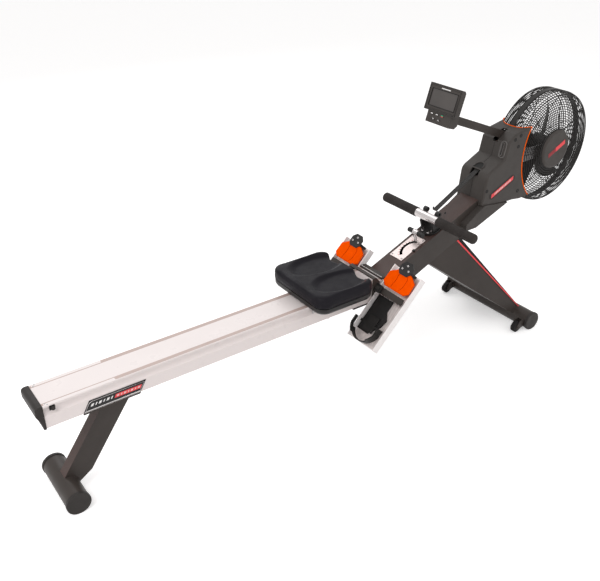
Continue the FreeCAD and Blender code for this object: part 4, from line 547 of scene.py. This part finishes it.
def slanted(length, width, lean):
    """Outline of a parallelogram about the local origin."""
    l, w = length / 2, width / 2
    return [(-l - lean / 2, -w), (l - lean / 2, -w), (l + lean / 2, w), (lean / 2 - l, w)]


def hexagon(radius):
    return [(radius * math.cos(math.pi * i / 3), radius * math.sin(math.pi * i / 3)) for i in range(6)]


def bolt(name, place, head, height, material, body, socket=True):
    """A button-head bolt with a dark hexagonal socket, its head standing on the local XY plane."""
    turned(name, [(0, 0), (head, 0), (head, height * 0.4), (head * 0.82, height * 0.85), (head * 0.5, height),
                  (0, height)], place, material, body, 32)
    if socket:
        plate(name + "_socket", hexagon(head * 0.42), 0.0002, place @ Matrix.Translation((0, 0, height)),
              "black", body)


# ------------------------------------------------------------ fan guard, hub and rim

GUARD_PITCH, GUARD_WIRE = 0.0090, 0.00175
GUARD_RISE, GUARD_STEPS = 0.018, 160
RIB_WIRE, RIB_INSET = 0.0015, 0.0028
# Each side: inner radius of the wires, number of ribs, turn of the first rib and how far the ribs curve
GUARDS = {"right": (-1, 0.079, 8, math.radians(37), 0.12), "left": (1, 0.033, 10, math.radians(12), 0.0)}


def guard_profile(inner):
    """Points (radius, distance from the middle) from the rim band round to the hub."""
    outer, corner = FAN_RADIUS - GUARD_WIRE, 0.012
    points = [(outer, 0.0135 + 0.0085 * i) for i in range(4)]
    for i in range(1, 3):
        a = math.pi / 2 * i / 2.2
        points.append((outer - corner * (1 - math.cos(a)), CAGE_HALF - corner + corner * math.sin(a)))
    face = outer - corner
    count = int((face - inner) / GUARD_PITCH)
    for i in range(count + 1):
        share = i / count
        crown = math.sin(share * math.pi / 2)
        points.append((face - (face - inner) * share, CAGE_HALF + GUARD_RISE * crown * 0.92))
    return points


def make_guard(word):
    """One half of the guard: rings of wire, and ribs under them from the rim to the hub."""
    side, inner, count, first, bend = GUARDS[word]
    profile = guard_profile(inner)
    circle = [2 * math.pi * i / GUARD_STEPS for i in range(GUARD_STEPS)]
    rings = [([(FAN.x + radius * math.cos(a), side * across, FAN.z + radius * math.sin(a))
               for a in circle], True) for radius, across in profile]
    ribs = []
    for k in range(count):
        a = first + 2 * math.pi * k / count
        line = []
        for radius, across in profile:
            swirl = a + bend * math.sin(math.pi * min(1.0, (FAN_RADIUS - radius) / 0.15))
            reach = radius - RIB_INSET * 0.4
            line.append((FAN.x + reach * math.cos(swirl), side * (across - RIB_INSET * 0.7),
                         FAN.z + reach * math.sin(swirl)))
        ribs.append((line, False))
    guard = wires("guard_" + word, rings, GUARD_WIRE, "wire", "frame")
    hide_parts("cage_" + word)
    wires("guard_ribs_" + word, ribs, RIB_WIRE, "wire", "frame")
    # A flat ring holds the inner ends of the wires under the hub cap
    ring = Matrix.Translation((FAN.x, 0, FAN.z)) @ Matrix.Rotation(math.radians(90) * side, 4, "X")
    section = [(inner - 0.008, -0.0735), (inner + 0.003, -0.0725), (inner + 0.005, -0.0705),
               (inner + 0.003, -0.0685), (inner - 0.008, -0.0685)]
    turned("guard_hub_ring_" + word, section, ring, "black", "frame", 96)


BLADES, BLADE_TURN = 5, math.radians(78)
BLADE_ROOT, BLADE_TIP = 0.040, 0.197
BLADE_CHORD, BLADE_SPREAD = 0.022, 0.017    # half width at the root, and what it gains outwards
BLADE_PITCH, BLADE_TWIST = 50, 12           # degrees at the root, and lost towards the tip
BLADE_SKINS = (-0.0009, 0.0009)
BLADE_GRID = (16, 12)


def blade_point(k, share, s, offset):
    """A point of blade k: share from root to tip, s across from -1 to 1, offset from its middle sheet."""
    radius = BLADE_ROOT + (BLADE_TIP - BLADE_ROOT) * share
    chord = BLADE_CHORD + BLADE_SPREAD * math.sin(math.pi / 2 * min(1.0, share * 1.4))
    pitch = math.radians(BLADE_PITCH - BLADE_TWIST * share)
    reach = radius * (1 - 0.10 * abs(s) ** 3 * share ** 4)
    turn = (BLADE_TURN + 2 * math.pi * k / BLADES + 0.16 * share ** 2
            + s * chord * math.cos(pitch) / radius)
    depth = 0.0035 - s * chord * math.sin(pitch) + 0.005 * (1 - s * s) + offset
    return reach * math.cos(turn), depth, reach * math.sin(turn)


def make_fan_wheel():
    """Five pitched and twisted blades on a hub with a belt pulley."""
    bm = bmesh.new()
    along, across = BLADE_GRID
    for k in range(BLADES):
        sheets = [[[bm.verts.new(blade_point(k, i / along, 2 * j / across - 1, offset))
                    for j in range(across + 1)] for i in range(along + 1)] for offset in BLADE_SKINS]
        skin(bm, *sheets)
    centre = Matrix.Translation((FAN.x, 0, FAN.z))
    blades = add("fan_blades", mesh_of("fan_blades", bm), centre, "fan", "fan")
    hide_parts("fan_wheel")
    axis = centre @ Matrix.Rotation(math.radians(-90), 4, "X")
    low, high = (corner.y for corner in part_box("fan_wheel"))
    turned("fan_hub", [(0.0153, low), (0.034, low), (0.0415, low + 0.006), (0.0415, 0.030), (0.023, 0.032),
                       (0.023, high), (0.0153, high), (0.0153, low)], axis, "fan", "fan", 64)


def make_fan_details():
    """Both halves of the guard, the wheel, and a plain two-tone strip on the hub."""
    make_guard("right")
    make_guard("left")
    make_fan_wheel()
    face = facing_right(Vector((FAN.x, HUB_FACE - 0.0001, FAN.z)), math.radians(25))
    plate("hub_strip", slanted(0.058, 0.017, 0.004), 0.0005,
          face @ Matrix.Translation((0.026, 0, 0)), "red", "frame", 0.0001)
    plate("hub_strip_dark", slanted(0.044, 0.017, 0.004), 0.0005,
          face @ Matrix.Translation((-0.026, 0, 0)), "red_dark", "frame", 0.0001)


# ------------------------------------------------------------ housing

def lay(name, points, radius, material, body="frame", closed=False):
    """A wire through points given in rail millimetres."""
    return wires(name, [([tuple(at(*p)) for p in points], closed)], radius, material, body)


def mirror_points(points):
    """The points, and their mirror images in order, from left round to right."""
    return [(x, -y, z) for x, y, z in points] + [(x, y, z) for x, y, z in reversed(points) if y]


def make_housing_details():
    """Side strip, screw wells, lip with its bead, joint lines, the block's loops and the strap's mouth."""
    place = facing_right(at(1886, -70.2, 626.5), math.radians(24.3))
    # A darker plate standing a little proud under the strip: painted shade of the recess round it.
    plate("side_recess_painted_shade", oblong(0.150, 0.030, 0.0148), 0.0006, place, "cap", "frame", 0.0004)
    plate("side_strip", slanted(0.128, 0.015, 0.006), 0.0005, place @ Matrix.Translation((0, 0, 0.0006)),
          "red", "frame", 0.0001)
    for i in range(-5, 6):
        width = (0.0062, 0.0040, 0.0074)[i % 3]
        plate("side_mark_%d" % (i + 5), slanted(width, 0.007, 0.003), 0.0002,
              place @ Matrix.Translation((0.0088 * i, 0, 0.0011)), "pale", "frame")
    # Screw wells in the cheek: flat dark rings, painted shade of the recess round each screw
    for i, (x, z) in enumerate(((1956, 823), (1926, 812), (1949, 780), (1985, 588), (1798, 629))):
        turned("screw_well_%d" % i, [(0.0028, 0.0003), (0.0064, 0.0003), (0.0068, 0.0006), (0.0074, 0)],
               facing_right(at(x, -70.05, z)), "dark_line", "frame", 32)
    # Lip over the guard with its orange bead
    lip = [(2010, -70), (2003.5, -64.5), (1995.5, -57), (1987, -48), (1980.5, -36), (1976.5, -20), (1975, 0)]
    tilt = math.atan(NOSE_RISE)
    top = slope(at(1931, 0, 832), tilt)
    outline = [((x - 1931) / math.cos(tilt) / 1000, y / 1000) for x, y in lip]
    outline += [(x, -y) for x, y in reversed(outline[:-1])]
    back = [(0.070, 0.0665), (0.062, 0.060), (0.0445, 0.056), (0.0385, 0.034), (0.0355, 0.0)]
    back += [(x, -y) for x, y in reversed(back[:-1])]
    plate("housing_lip", outline + back, 0.003, top @ Matrix.Translation((0, 0, -0.0028)), "shell", "frame")
    bead = [(x, y, 832 + (x - 1931) * NOSE_RISE + 0.6) for x, y in lip]
    lay("lip_bead", mirror_points(bead), 0.0017, "orange")
    # Joint of the two halves
    joints = (((1781.4, 0, 589.4), (1789.4, 0, 675.7)), ((1840, 0, 719.6), (1879.8, 0, 739)),
              ((1880, 0, 739.2), (1891, 0, 794.5)), ((1947.5, 0, 835.3), (1967.5, 0, 839.3)))
    for i, line in enumerate(joints):
        lay("joint_line_%d" % i, line, 0.0006, "dark_line")
    # Raised loops on the face of the block, lighter as painted highlight on their edges, and a darker well in
    # them as painted shade
    face = slope(at(1886.4, -47, 771), math.radians(78.7))
    for k, (along, wide, radius) in enumerate(((0.064, 0.0265, 0.0032), (0.050, 0.0095, 0.0020))):
        points = [(x, y, 0.0004) for x, y in oblong(along, wide, wide * 0.46)]
        wires("block_loop_%d" % k, [(points, True)], radius * 0.6, "edge", "frame",
              face @ Matrix.Translation((0.004, 0.005 * k, 0.0)))
    # A darker plate inside the inner loop: painted shade of the well.
    plate("block_well_painted_shade", oblong(0.044, 0.007, 0.0034), 0.0004, face @ Matrix.Translation((0.004, 0.005, 0)),
          "cap", "frame")
    # A dark disc: painted shade standing for a hole in the block.
    turned("block_hole_painted_shade", [(0, 0.0012), (0.0026, 0.0012), (0.0032, 0.0006), (0.0036, 0)],
           face @ Matrix.Translation((-0.0145, 0.005, 0)), "dark_line", "frame", 24)
    # Hood round the strap's mouth
    nose = slope(at(1808.7, 0, 704.5), math.radians(25.8))
    arch = [(-0.001, 0.0195)] + [(0.008 + 0.020 * math.sin(a), 0.0195 * math.cos(a))
                                 for a in (math.pi * i / 24 for i in range(25))] + [(-0.001, -0.0195)]
    plate("mouth_shade", arch, 0.0004, nose, "dark_line", "frame")
    hood = [(x * 1.06, y * 1.06, 0.0012) for x, y in arch]
    wires("mouth_hood", [(hood, False)], 0.0022, "shell", "frame", nose)


# ------------------------------------------------------------ seat

SEAT_INSET = 0.0018         # room that the swelling takes
SEAT_CORNER, SEAT_EDGE = 0.042, 0.011
SEAT_RINGS = 26
SEAT_VOXEL, SEAT_SWELL, SEAT_PRESSURE = 0.0036, 0.0012, 2.0


def smoothstep(low, high, value):
    """0 below low, 1 above high, and a soft step between them."""
    t = min(1.0, max(0.0, (value - low) / (high - low)))
    return t * t * (3 - 2 * t)


def seat_height(u, v):
    """How far the seat's top lies below its highest line; u runs forward and v to the left, -1 to 1."""
    across = (abs(v) - 0.46) / 0.42
    along = (u - 0.24) / 0.98
    hollow = 0.0135 * smoothstep(1.12, 0.55, across * across + along * along)
    saddle = 0.0050 * smoothstep(-0.35, 0.45, u) * smoothstep(0.7, 0.3, abs(v))
    return max(hollow, saddle)


def seat_shape(low, high):
    """A closed pad: a rounded outline whose front is scalloped for the thighs, hollowed on top."""
    centre = (low + high) / 2
    half = (high - low) / 2
    crest = high.z - SEAT_INSET
    flank = SEAT_EDGE / (min(half.x, half.y) - SEAT_INSET)
    outline = []
    length, width = 2 * (half.x - SEAT_INSET), 2 * (half.y - SEAT_INSET)
    for x, y in dense(oblong(length, width, SEAT_CORNER, 16), 0.004):
        front = smoothstep(0.2, 1.0, x / half.x)
        x -= front * 0.017 * math.exp(-((abs(y) / half.y - 0.50) / 0.21) ** 2)
        outline.append((x, y))
    # Rings from the middle out: (share of the outline, drop from the crest), then round the upper edge
    rings = [(k / SEAT_RINGS * (1 - flank), 0) for k in range(1, SEAT_RINGS + 1)]
    for k in range(1, 6):
        a = math.pi / 2 * k / 5
        rings.append((1 - flank * (1 - math.sin(a)), SEAT_EDGE * (1 - math.cos(a))))
    bm = bmesh.new()
    top = bm.verts.new((0, 0, crest - seat_height(0, 0)))
    loops = [[bm.verts.new((x * share, y * share,
                            crest - drop - seat_height(x * share / half.x, y * share / half.y)))
              for x, y in outline] for share, drop in rings]
    base = low.z + 0.009
    for share, z in ((1.004, 0.5), (1.0, 0.15), (0.985, 0.03), (0.95, 0.0)):
        loops.append([bm.verts.new((x * share, y * share, base + z * (loops[-1][i].co.z - base) * 0.6))
                      for i, (x, y) in enumerate(outline)])
    for i in range(len(outline)):
        j = (i + 1) % len(outline)
        bm.faces.new((top, loops[0][i], loops[0][j]))
        for inner, outer in zip(loops, loops[1:]):
            bm.faces.new((inner[i], outer[i], outer[j], inner[j]))
    bm.faces.new(list(reversed(loops[-1])))
    bmesh.ops.translate(bm, vec=(centre.x, centre.y, 0), verts=bm.verts)
    return mesh_of("seat_cushion", bm)


def swell(obj):
    """Blow a closed cover up a little with Cloth, and keep each point near where it was."""
    remesh = obj.modifiers.new("even", "REMESH")
    remesh.mode = "VOXEL"
    remesh.voxel_size = SEAT_VOXEL
    bake(obj)
    before = [v.co.copy() for v in obj.data.vertices]
    cloth = obj.modifiers.new("cloth", "CLOTH")
    cloth.settings.use_pressure = True
    cloth.settings.uniform_pressure_force = SEAT_PRESSURE
    cloth.settings.effector_weights.gravity = 0
    cloth.settings.quality = 6
    scene = bpy.context.scene
    for step in range(1, 21):
        scene.frame_set(step)
    bake(obj)
    scene.frame_set(1)
    for vertex, start in zip(obj.data.vertices, before):
        moved = vertex.co - start
        if moved.length > SEAT_SWELL:
            vertex.co = start + moved * (SEAT_SWELL / moved.length)
    even = obj.modifiers.new("fine", "SUBSURF")
    even.levels = even.render_levels = 1
    bake(obj)
    smooth(obj.data, 60)


def bake(obj):
    """Replace the mesh by what its modifiers make of it."""
    depsgraph = bpy.context.evaluated_depsgraph_get()
    made = bpy.data.meshes.new_from_object(obj.evaluated_get(depsgraph))
    obj.modifiers.clear()
    obj.data = made


def make_seat_cushion():
    """The moulded pad and the tray wall under it."""
    low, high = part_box("seat_pad")
    cushion = add("seat_cushion", seat_shape(low, high), Matrix.Identity(4), "leather", "seat")
    swell(cushion)
    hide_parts("seat_pad")
    # Tray wall under the pad
    centre, half = (low + high) / 2, (high - low) / 2
    wall = []
    for inset, drop in ((0.004, 0.0085), (0.0045, -0.004), (0.009, -0.0130), (0.019, -0.0180),
                        (0.019, -0.0155), (0.012, -0.011), (0.0085, -0.003), (0.008, 0.0085)):
        wall.append([(x, y, low.z + drop) for x, y in
                     oblong(2 * (half.x - inset), 2 * (half.y - inset), 0.040 - inset * 0.4, 12)])
    bm = bmesh.new()
    loops = [[bm.verts.new(point) for point in ring] for ring in wall]
    for inner, outer in zip(loops, loops[1:] + loops[:1]):
        for i in range(len(inner)):
            j = (i + 1) % len(inner)
            bm.faces.new((inner[i], inner[j], outer[j], outer[i]))
    add("seat_tray", mesh_of("seat_tray", bm), Matrix.Translation((centre.x, centre.y, 0)), "skirt", "seat")


# ------------------------------------------------------------ handle and strap

STRAP_FROM, STRAP_TO = 0.0365, 0.386    # from the handle's axis to the clamp and to the housing's mouth
STRAP_STEPS = 80


def make_handle_details():
    """Foam grips with rounded ends, and the pull strap."""
    for word, side in SIDES:
        place = Matrix.Translation(HANDLE) @ Matrix.Rotation(-math.radians(90) * side, 4, "X")
        r = 0.0192
        profile = [(0.0142, 0.0552), (r - 0.002, 0.0552), (r, 0.0575)]
        for i in range(1, 12):
            profile.append((r - 0.0004 * math.sin(math.pi * i / 12), 0.0575 + 0.1785 * i / 12))
        profile += [(r, 0.236), (r * 0.97, 0.2405), (r * 0.86, 0.2435), (r * 0.6, 0.2449), (0, 0.2452)]
        grip = turned("grip_" + word, profile, place, "foam", "handle", 48)
        if side < 0:
            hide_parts("handle_grips")
    along = Vector((math.cos(RISE), 0, math.sin(RISE)))
    make_strap(HANDLE + along * STRAP_FROM, HANDLE + along * STRAP_TO)


def make_lever_details():
    """Bright stem and collar, scale marks, and the bolts of plate and cradle."""
    tip = at(1497.7, -2.9, 510.7)
    turned("lever_stem", [(0.0052, -0.036), (0.0052, 0.002)], Matrix.Translation(tip), "chrome", "lever", 24)
    turned("lever_collar", [(0.0098, -0.012), (0.0108, -0.0108), (0.0108, 0.0108), (0.0098, 0.012)],
           Matrix.Translation(tip) @ Matrix.Rotation(math.radians(90), 4, "X"), "chrome", "lever", 32)
    scale = slope(at(1462.4, 0, 456.1), SLOPE)
    for i in range(9):
        a = math.radians(-52 + 13 * i)
        arm = Matrix.Translation((0, -0.035, 0)) @ Matrix.Rotation(math.pi / 2 - a, 4, "Z")
        plate("scale_mark_%d" % i, slanted(0.0050, 0.0013, 0), 0.0002,
              scale @ arm @ Matrix.Translation((0.0610, 0, 0)), "red", "frame")
        plate("scale_notch_%d" % i, slanted(0.0030, 0.0022, 0), 0.0003,
              scale @ arm @ Matrix.Translation((0.0565, 0, 0)), "dark_line", "frame")
    for i, (x, y) in enumerate(((-0.058, 0.026), (-0.058, -0.026), (0.058, 0.026), (0.058, -0.026))):
        bolt("scale_bolt_%d" % i, scale @ Matrix.Translation((x, y, 0)), 0.0034, 0.0014, "steel", "frame")
    flange = slope(at(1577, 0, 510.9), SLOPE)
    for i, (x, y) in enumerate(((-0.030, 0.014), (-0.030, -0.016), (0.020, -0.024), (0.020, 0.024))):
        spot = flange @ Matrix.Translation((x, y, 0.0002))
        bolt("cradle_bolt_%d" % i, spot, 0.0048, 0.0030, "chrome", "frame")
    # Dark discs on the cradle's tips: painted shade standing for their holes.
    for i, y in enumerate((-40.2, 23.8)):
        turned("tip_hole_%d" % i, [(0, 0.0003), (0.0042, 0.0003), (0.0050, 0)],
               facing_right(at(1608.1, y, 576)), "dark_line", "frame", 24)


def make_strap(start, end):
    """The pull strap: a flat woven band with thicker edges."""
    along = end - start
    up = Vector((-math.sin(RISE), 0, math.cos(RISE)))
    under = [(-0.011, -0.0007), (-0.0102, -0.0011), (-0.0085, -0.0008), (0.0085, -0.0008),
             (0.0102, -0.0011), (0.011, -0.0007)]
    section = under + [(y, -h) for y, h in reversed(under)]
    bm = bmesh.new()
    rows = []
    for k in range(STRAP_STEPS + 1):
        spot = start + along * (k / STRAP_STEPS)
        rows.append([bm.verts.new(spot + Vector((0, y, 0)) + up * h) for y, h in section])
    for low, high in zip(rows, rows[1:]):
        for i in range(len(section)):
            j = (i + 1) % len(section)
            bm.faces.new((low[i], low[j], high[j], high[i]))
    bm.faces.new(list(reversed(rows[0])))
    bm.faces.new(rows[-1])
    mesh = mesh_of("pull_strap", bm)
    mesh.materials.append(M["webbing"])
    smooth(mesh)
    obj = bpy.data.objects.new("pull_strap", mesh)
    bpy.context.scene.collection.objects.link(obj)
    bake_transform(obj)
    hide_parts("handle_strap")


# ------------------------------------------------------------ footrests

PAD_OUTLINE = ((0, 0.74), (0.18, 1.0), (0.72, 0.97), (1.0, 0.5))   # (share of length, share of half width)
PAD_LENGTH, PAD_HALF = 0.080, 0.066
PAD_SEAMS = (-0.34, 0.34)
PAD_GRID = (40, 52)


def pad_width(x):
    """The pad's half width at a share of its length."""
    return next(w0 + (w1 - w0) * (x - x0) / (x1 - x0)
                for (x0, w0), (x1, w1) in zip(PAD_OUTLINE, PAD_OUTLINE[1:]) if x0 <= x <= x1)


def pad_seam(start, x):
    """Where a seam lies across the pad at a share of its length."""
    return start * (1 + 0.10 * x) - 0.12 * math.sin(math.pi * x)


def pad_point(x, v, surface):
    """A point of the pad: x along and v across, on its top (1) or underside (-1)."""
    edge = min(1.0, (1 - abs(v)) / 0.12) * min(1.0, x / 0.09) * min(1.0, (1 - x) / 0.09)
    crown = math.sin(math.pi / 2 * max(0.0, edge))
    seam = max(math.exp(-((v - pad_seam(start, x)) / 0.030) ** 2) for start in PAD_SEAMS)
    dip = 0.05 * x ** 3 * (1 - math.cos(3 * math.pi * v)) / 2
    height = 0.004 + surface * (0.0030 + 0.0030 * crown) - (0.0022 * seam if surface > 0 else 0)
    return PAD_LENGTH * (x - dip), v * pad_width(x) * PAD_HALF, height


def toe_pad(word, side):
    """Three sewn panels, crowned between their seams."""
    place = tray(side) @ Matrix.Translation((0.2245, 0, 0.0277))
    bm = bmesh.new()
    rows, columns = PAD_GRID
    sheets = [[[bm.verts.new(pad_point(i / rows, -1 + 2 * j / columns, surface))
                for j in range(columns + 1)] for i in range(rows + 1)] for surface in (1, -1)]
    skin(bm, *sheets)
    pad = add("toe_pad_" + word, mesh_of("toe_pad_" + word, bm), place, "cloth", "frame")
    for k, start in enumerate(PAD_SEAMS):
        line = [(PAD_LENGTH * x * 0.97, pad_seam(start, x) * pad_width(x) * PAD_HALF, 0.0082)
                for x in (i / rows for i in range(3, 38))]
        wires("pad_seam_%s_%d" % (word, k), [(line, False)], 0.0009, "seam", "frame", place)
    return pad


def make_footrest_details():
    """Toe pads with the bolts of their brackets, tray sheets, and the fittings of the instep bar."""
    pads = [toe_pad(word, side) for word, side in SIDES]
    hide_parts("toe_pads")
    for word, side in SIDES:
        place = tray(side)
        for k, (u, y) in enumerate(((0.309, 0.016), (0.309, -0.016), (0.326, 0.0))):
            bolt("toe_bolt_%s_%d" % (word, k), place @ Matrix.Translation((u, y, 0.041)),
                 0.0042, 0.0026, "chrome", "frame")
        sheet = [(0.004, -0.066), (0.306, -0.066), (0.306, 0.066), (0.004, 0.066)]
        above = place @ Matrix.Translation((0, 0, 0.0001))
        plate("tray_sheet_" + word, sheet, 0.0004, above, "sheet", "frame")
        inner = -0.060 * side
        plate("bar_buckle_" + word, oblong(0.030, 0.034, 0.005), 0.011,
              place @ Matrix.Translation((0.202, inner, 0.0325)), "black", "frame", 0.0012)
        plate("bar_clip_" + word, oblong(0.012, 0.020, 0.003), 0.004,
              place @ Matrix.Translation((0.202, inner, 0.0435)), "cap", "frame", 0.0008)
        edge = place @ Matrix.Translation((0.1885, 0, 0.0265))
        wires("bar_bead_" + word, [([(0, -0.060, 0), (0, 0.060, 0)], False)], 0.0012, "chrome", "frame", edge)
    lay("sill_bead", [(1284, -58, 407.4), (1284, 58, 407.4)], 0.0011, "chrome")


# ------------------------------------------------------------ rail and feet

def make_rail_details():
    """Ends of the track strips, screws and stop peg, and the badge's generic marks."""
    for word, side in SIDES:
        middle = (CAD_STRIP[0].x + at(225, 0, 0).x) / 2
        cover = Matrix.Translation((middle + 0.003, 0.0540 * side, at(0, 0, 400).z))
        plate("strip_cover_" + word, oblong(0.219, 0.0105, 0.001), 0.00008, cover, "rail", "frame")
        band = Matrix.Translation(((at(225, 0, 0).x + CAD_STRIP[1].x) / 2, 0.0555 * side, at(0, 0, 400).z))
        plate("strip_band_" + word, oblong(1.073, 0.0088, 0.0006), 0.00006, band, "strip", "frame")
        for k, x in enumerate((11, 16)):
            bolt("rail_screw_%s_%d" % (word, k), Matrix.Translation(at(x, (50 + 7 * k) * side, 400.1)),
                 0.0026, 0.0008, "steel", "frame", False)
    side = facing_right(at(27, -62.1, 388))
    plate("stop_shade", oblong(0.018, 0.017, 0.003), 0.0005, side, "dark_line", "frame")
    turned("stop_peg", [(0.0062, 0), (0.0062, 0.006), (0.0052, 0.0075), (0, 0.0078)],
           side @ Matrix.Translation((0.0015, -0.001, 0.0004)), "cap", "frame", 32)
    badge = facing_right(at(216.5, -63.7, 343))
    half, rise, lean = 0.0885, 0.0145, 0.0085
    outline = [(-half - lean, -rise), (half - lean, -rise), (half + lean, rise), (-half + lean * 1.6, rise),
               (-half + lean * 0.3, rise * 0.55)]
    wires("badge_line", [([(x, y, 0) for x, y in outline], True)], 0.00075, "chrome", "frame", badge)
    plate("badge_red", slanted(0.086, 0.012, 0.006), 0.0003, badge @ Matrix.Translation((0.042, 0.001, 0)),
          "red", "frame")
    for i in range(6):
        plate("badge_mark_%d" % i, slanted((0.008, 0.004)[i % 2], 0.0085, 0.005), 0.0003,
              badge @ Matrix.Translation((-0.074 + 0.0125 * i, 0.001, 0)), "print", "frame")
    for i in range(7):
        plate("badge_pale_%d" % i, slanted((0.007, 0.004)[i % 2], 0.0055, 0.003), 0.0002,
              badge @ Matrix.Translation((0.008 + 0.0115 * i, 0.001, 0.0003)), "pale", "frame")
    lay("badge_foot_line", [(116, -64.0, 327), (299, -64.0, 327)], 0.0008, "print")


TREADS = 18
# The front leg's right face: its normal, and a point on it in rail millimetres
LEG_NORMAL = (0.0897, 0.9733, -0.2113)
LEG_POINT = (1540.1, -46, 379.1)
# Corners of what lies on it, (x, z) in rail millimetres
LEG_BANDS = (("leg_stripe", "red", ((1684.5, 437.8), (1690.5, 440.6), (2005.3, 76.0), (2001.3, 74.0))),
             # The dark band stands for the leg's chamfer beside the stripe: painted shade, as that strip
             # faces away from the light.
             ("leg_edge_painted_shade", "dark_line", ((1691.5, 441.1), (1702.6, 447.0), (1999.0, 79.0), (2003.5, 76.5))))


def leg_band(name, material, corners, side):
    """A thin strip on one side face of the front leg."""
    nx, ny, nz = LEG_NORMAL
    x0, y0, z0 = LEG_POINT
    out = Vector(LEG_NORMAL).normalized() * -0.0004
    bm = bmesh.new()
    spots = [at(x, y0 - (nx * (x - x0) + nz * (z - z0)) / ny, z) + out for x, z in corners]
    bm.faces.new([bm.verts.new((p.x, p.y * -side, p.z)) for p in spots])
    thicken(bm, (out.x, out.y * -side, out.z))
    add(name, mesh_of(name, bm), Matrix.Identity(4), material, "frame")


def make_foot_details():
    """Stripe and a dark band of painted shade on the front leg, wheel hubs and treads."""
    for word, side in SIDES:
        for name, material, corners in LEG_BANDS:
            leg_band("%s_%s" % (name, word), material, corners, side)
        low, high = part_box("wheel_" + word)
        hub = (low + high) / 2
        out = facing_right(Vector((hub.x, low.y - 0.0001, hub.z)))
        if side > 0:
            out = Matrix.Translation((hub.x, high.y + 0.0001, hub.z))
            out = out @ Matrix.Rotation(math.radians(-90), 4, "X")
        turned("wheel_disc_" + word, [(0, 0.0012), (0.0100, 0.0012), (0.0115, 0)], out, "cap",
               "wheel_" + word, 32)
        bolt("wheel_bolt_" + word, out @ Matrix.Translation((0, 0, 0.0012)), 0.0045, 0.0022, "steel",
             "wheel_" + word)
        bm = bmesh.new()
        for k in range(TREADS):
            a = 2 * math.pi * k / TREADS
            made = bmesh.ops.create_cube(bm, size=1)["verts"]
            bmesh.ops.scale(bm, vec=(0.0016, high.y - low.y - 0.001, 0.004), verts=made)
            bmesh.ops.translate(bm, vec=(0.0226, 0, 0), verts=made)
            bmesh.ops.rotate(bm, cent=(0, 0, 0), matrix=Matrix.Rotation(a, 3, "Y"), verts=made)
        add("wheel_tread_" + word, mesh_of("wheel_tread_" + word, bm), Matrix.Translation(hub), "tyre",
            "wheel_" + word)


# ------------------------------------------------------------ monitor

def make_monitor_details():
    """Bezel lines, a plain bar over the display and the signs on the keys."""
    face = MONITOR @ Matrix(((0, 0, -1, 0), (-1, 0, 0, 0), (0, 1, 0, 0), (0, 0, 0, 1)))

    def frame_line(name, left, right, low, high, radius, material):
        points = [(left, low, 0), (right, low, 0), (right, high, 0), (left, high, 0)]
        wires(name, [(points, True)], radius, material, "monitor", face)

    frame_line("bezel_line", -0.0745, 0.0745, 0.0035, 0.0925, 0.0013, "black")
    frame_line("bezel_inner", -0.0700, 0.0700, 0.0080, 0.0880, 0.0006, "dark_line")
    frame_line("display_line", -0.0620, 0.0645, 0.0172, 0.0778, 0.0016, "dark_line")
    plate("plain_bar", oblong(0.043, 0.0036, 0.0012), 0.0003,
          face @ Matrix.Translation((0.0025, 0.0845, 0.0)), "print", "monitor")
    out = face.to_3x3() @ Vector((0, 0, 1))
    signs = {}
    for key in KEYS:
        low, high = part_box("key_" + key)
        spot = (low + high) / 2 + out * 0.0026
        signs[key] = Matrix.Translation(spot) @ face.to_3x3().to_4x4()
    for key in ("reset", "recall"):
        plate("sign_" + key, slanted(0.0105, 0.0030, 0.001), 0.0002, signs[key], "print", "key_" + key)
    for k, (material, y) in enumerate((("green", 0.0018), ("key_red", -0.0018))):
        plate("sign_start_%d" % k, slanted(0.0115, 0.0034, 0.0), 0.0002,
              signs["start"] @ Matrix.Translation((0, y, 0)), material, "key_start")
    for key, up in (("down", -1), ("up", 1)):
        chevron = [(-0.0046, -0.0030), (0, 0.0030), (0.0046, -0.0030), (0.0028, -0.0030), (0, 0.0006),
                   (-0.0028, -0.0030)]
        plate("sign_" + key, [(x, y * up) for x, y in chevron], 0.0002, signs[key], "print", "key_" + key)


def soften(name):
    """Round the edges of a CAD node."""
    bevel = NODES[name].modifiers.new("round", "BEVEL")
    bevel.width = 0.001
    bevel.segments = 2
    bevel.limit_method = "ANGLE"
    bevel.angle_limit = math.radians(40)
    bevel.harden_normals = True


make_world()
make_floor()
make_camera()
area_light("key", (-2.9, -1.0, 3.2), (0, 0, 0.4), 2.4, 72)
area_light("fill", (1.6, -3.2, 2.4), (0.3, 0, 0.4), 2.6, 24)
area_light("back", (0.6, 3.2, 2.8), (0.2, 0, 0.5), 2.6, 40)
bpy.context.scene.view_settings.view_transform = "Standard"

make_fan_details()
make_housing_details()
make_seat_cushion()
make_handle_details()
make_lever_details()
make_footrest_details()
make_rail_details()
make_foot_details()
make_monitor_details()
for name in ("foot_crossbar", "footplate_left", "footplate_right"):
    soften(name)
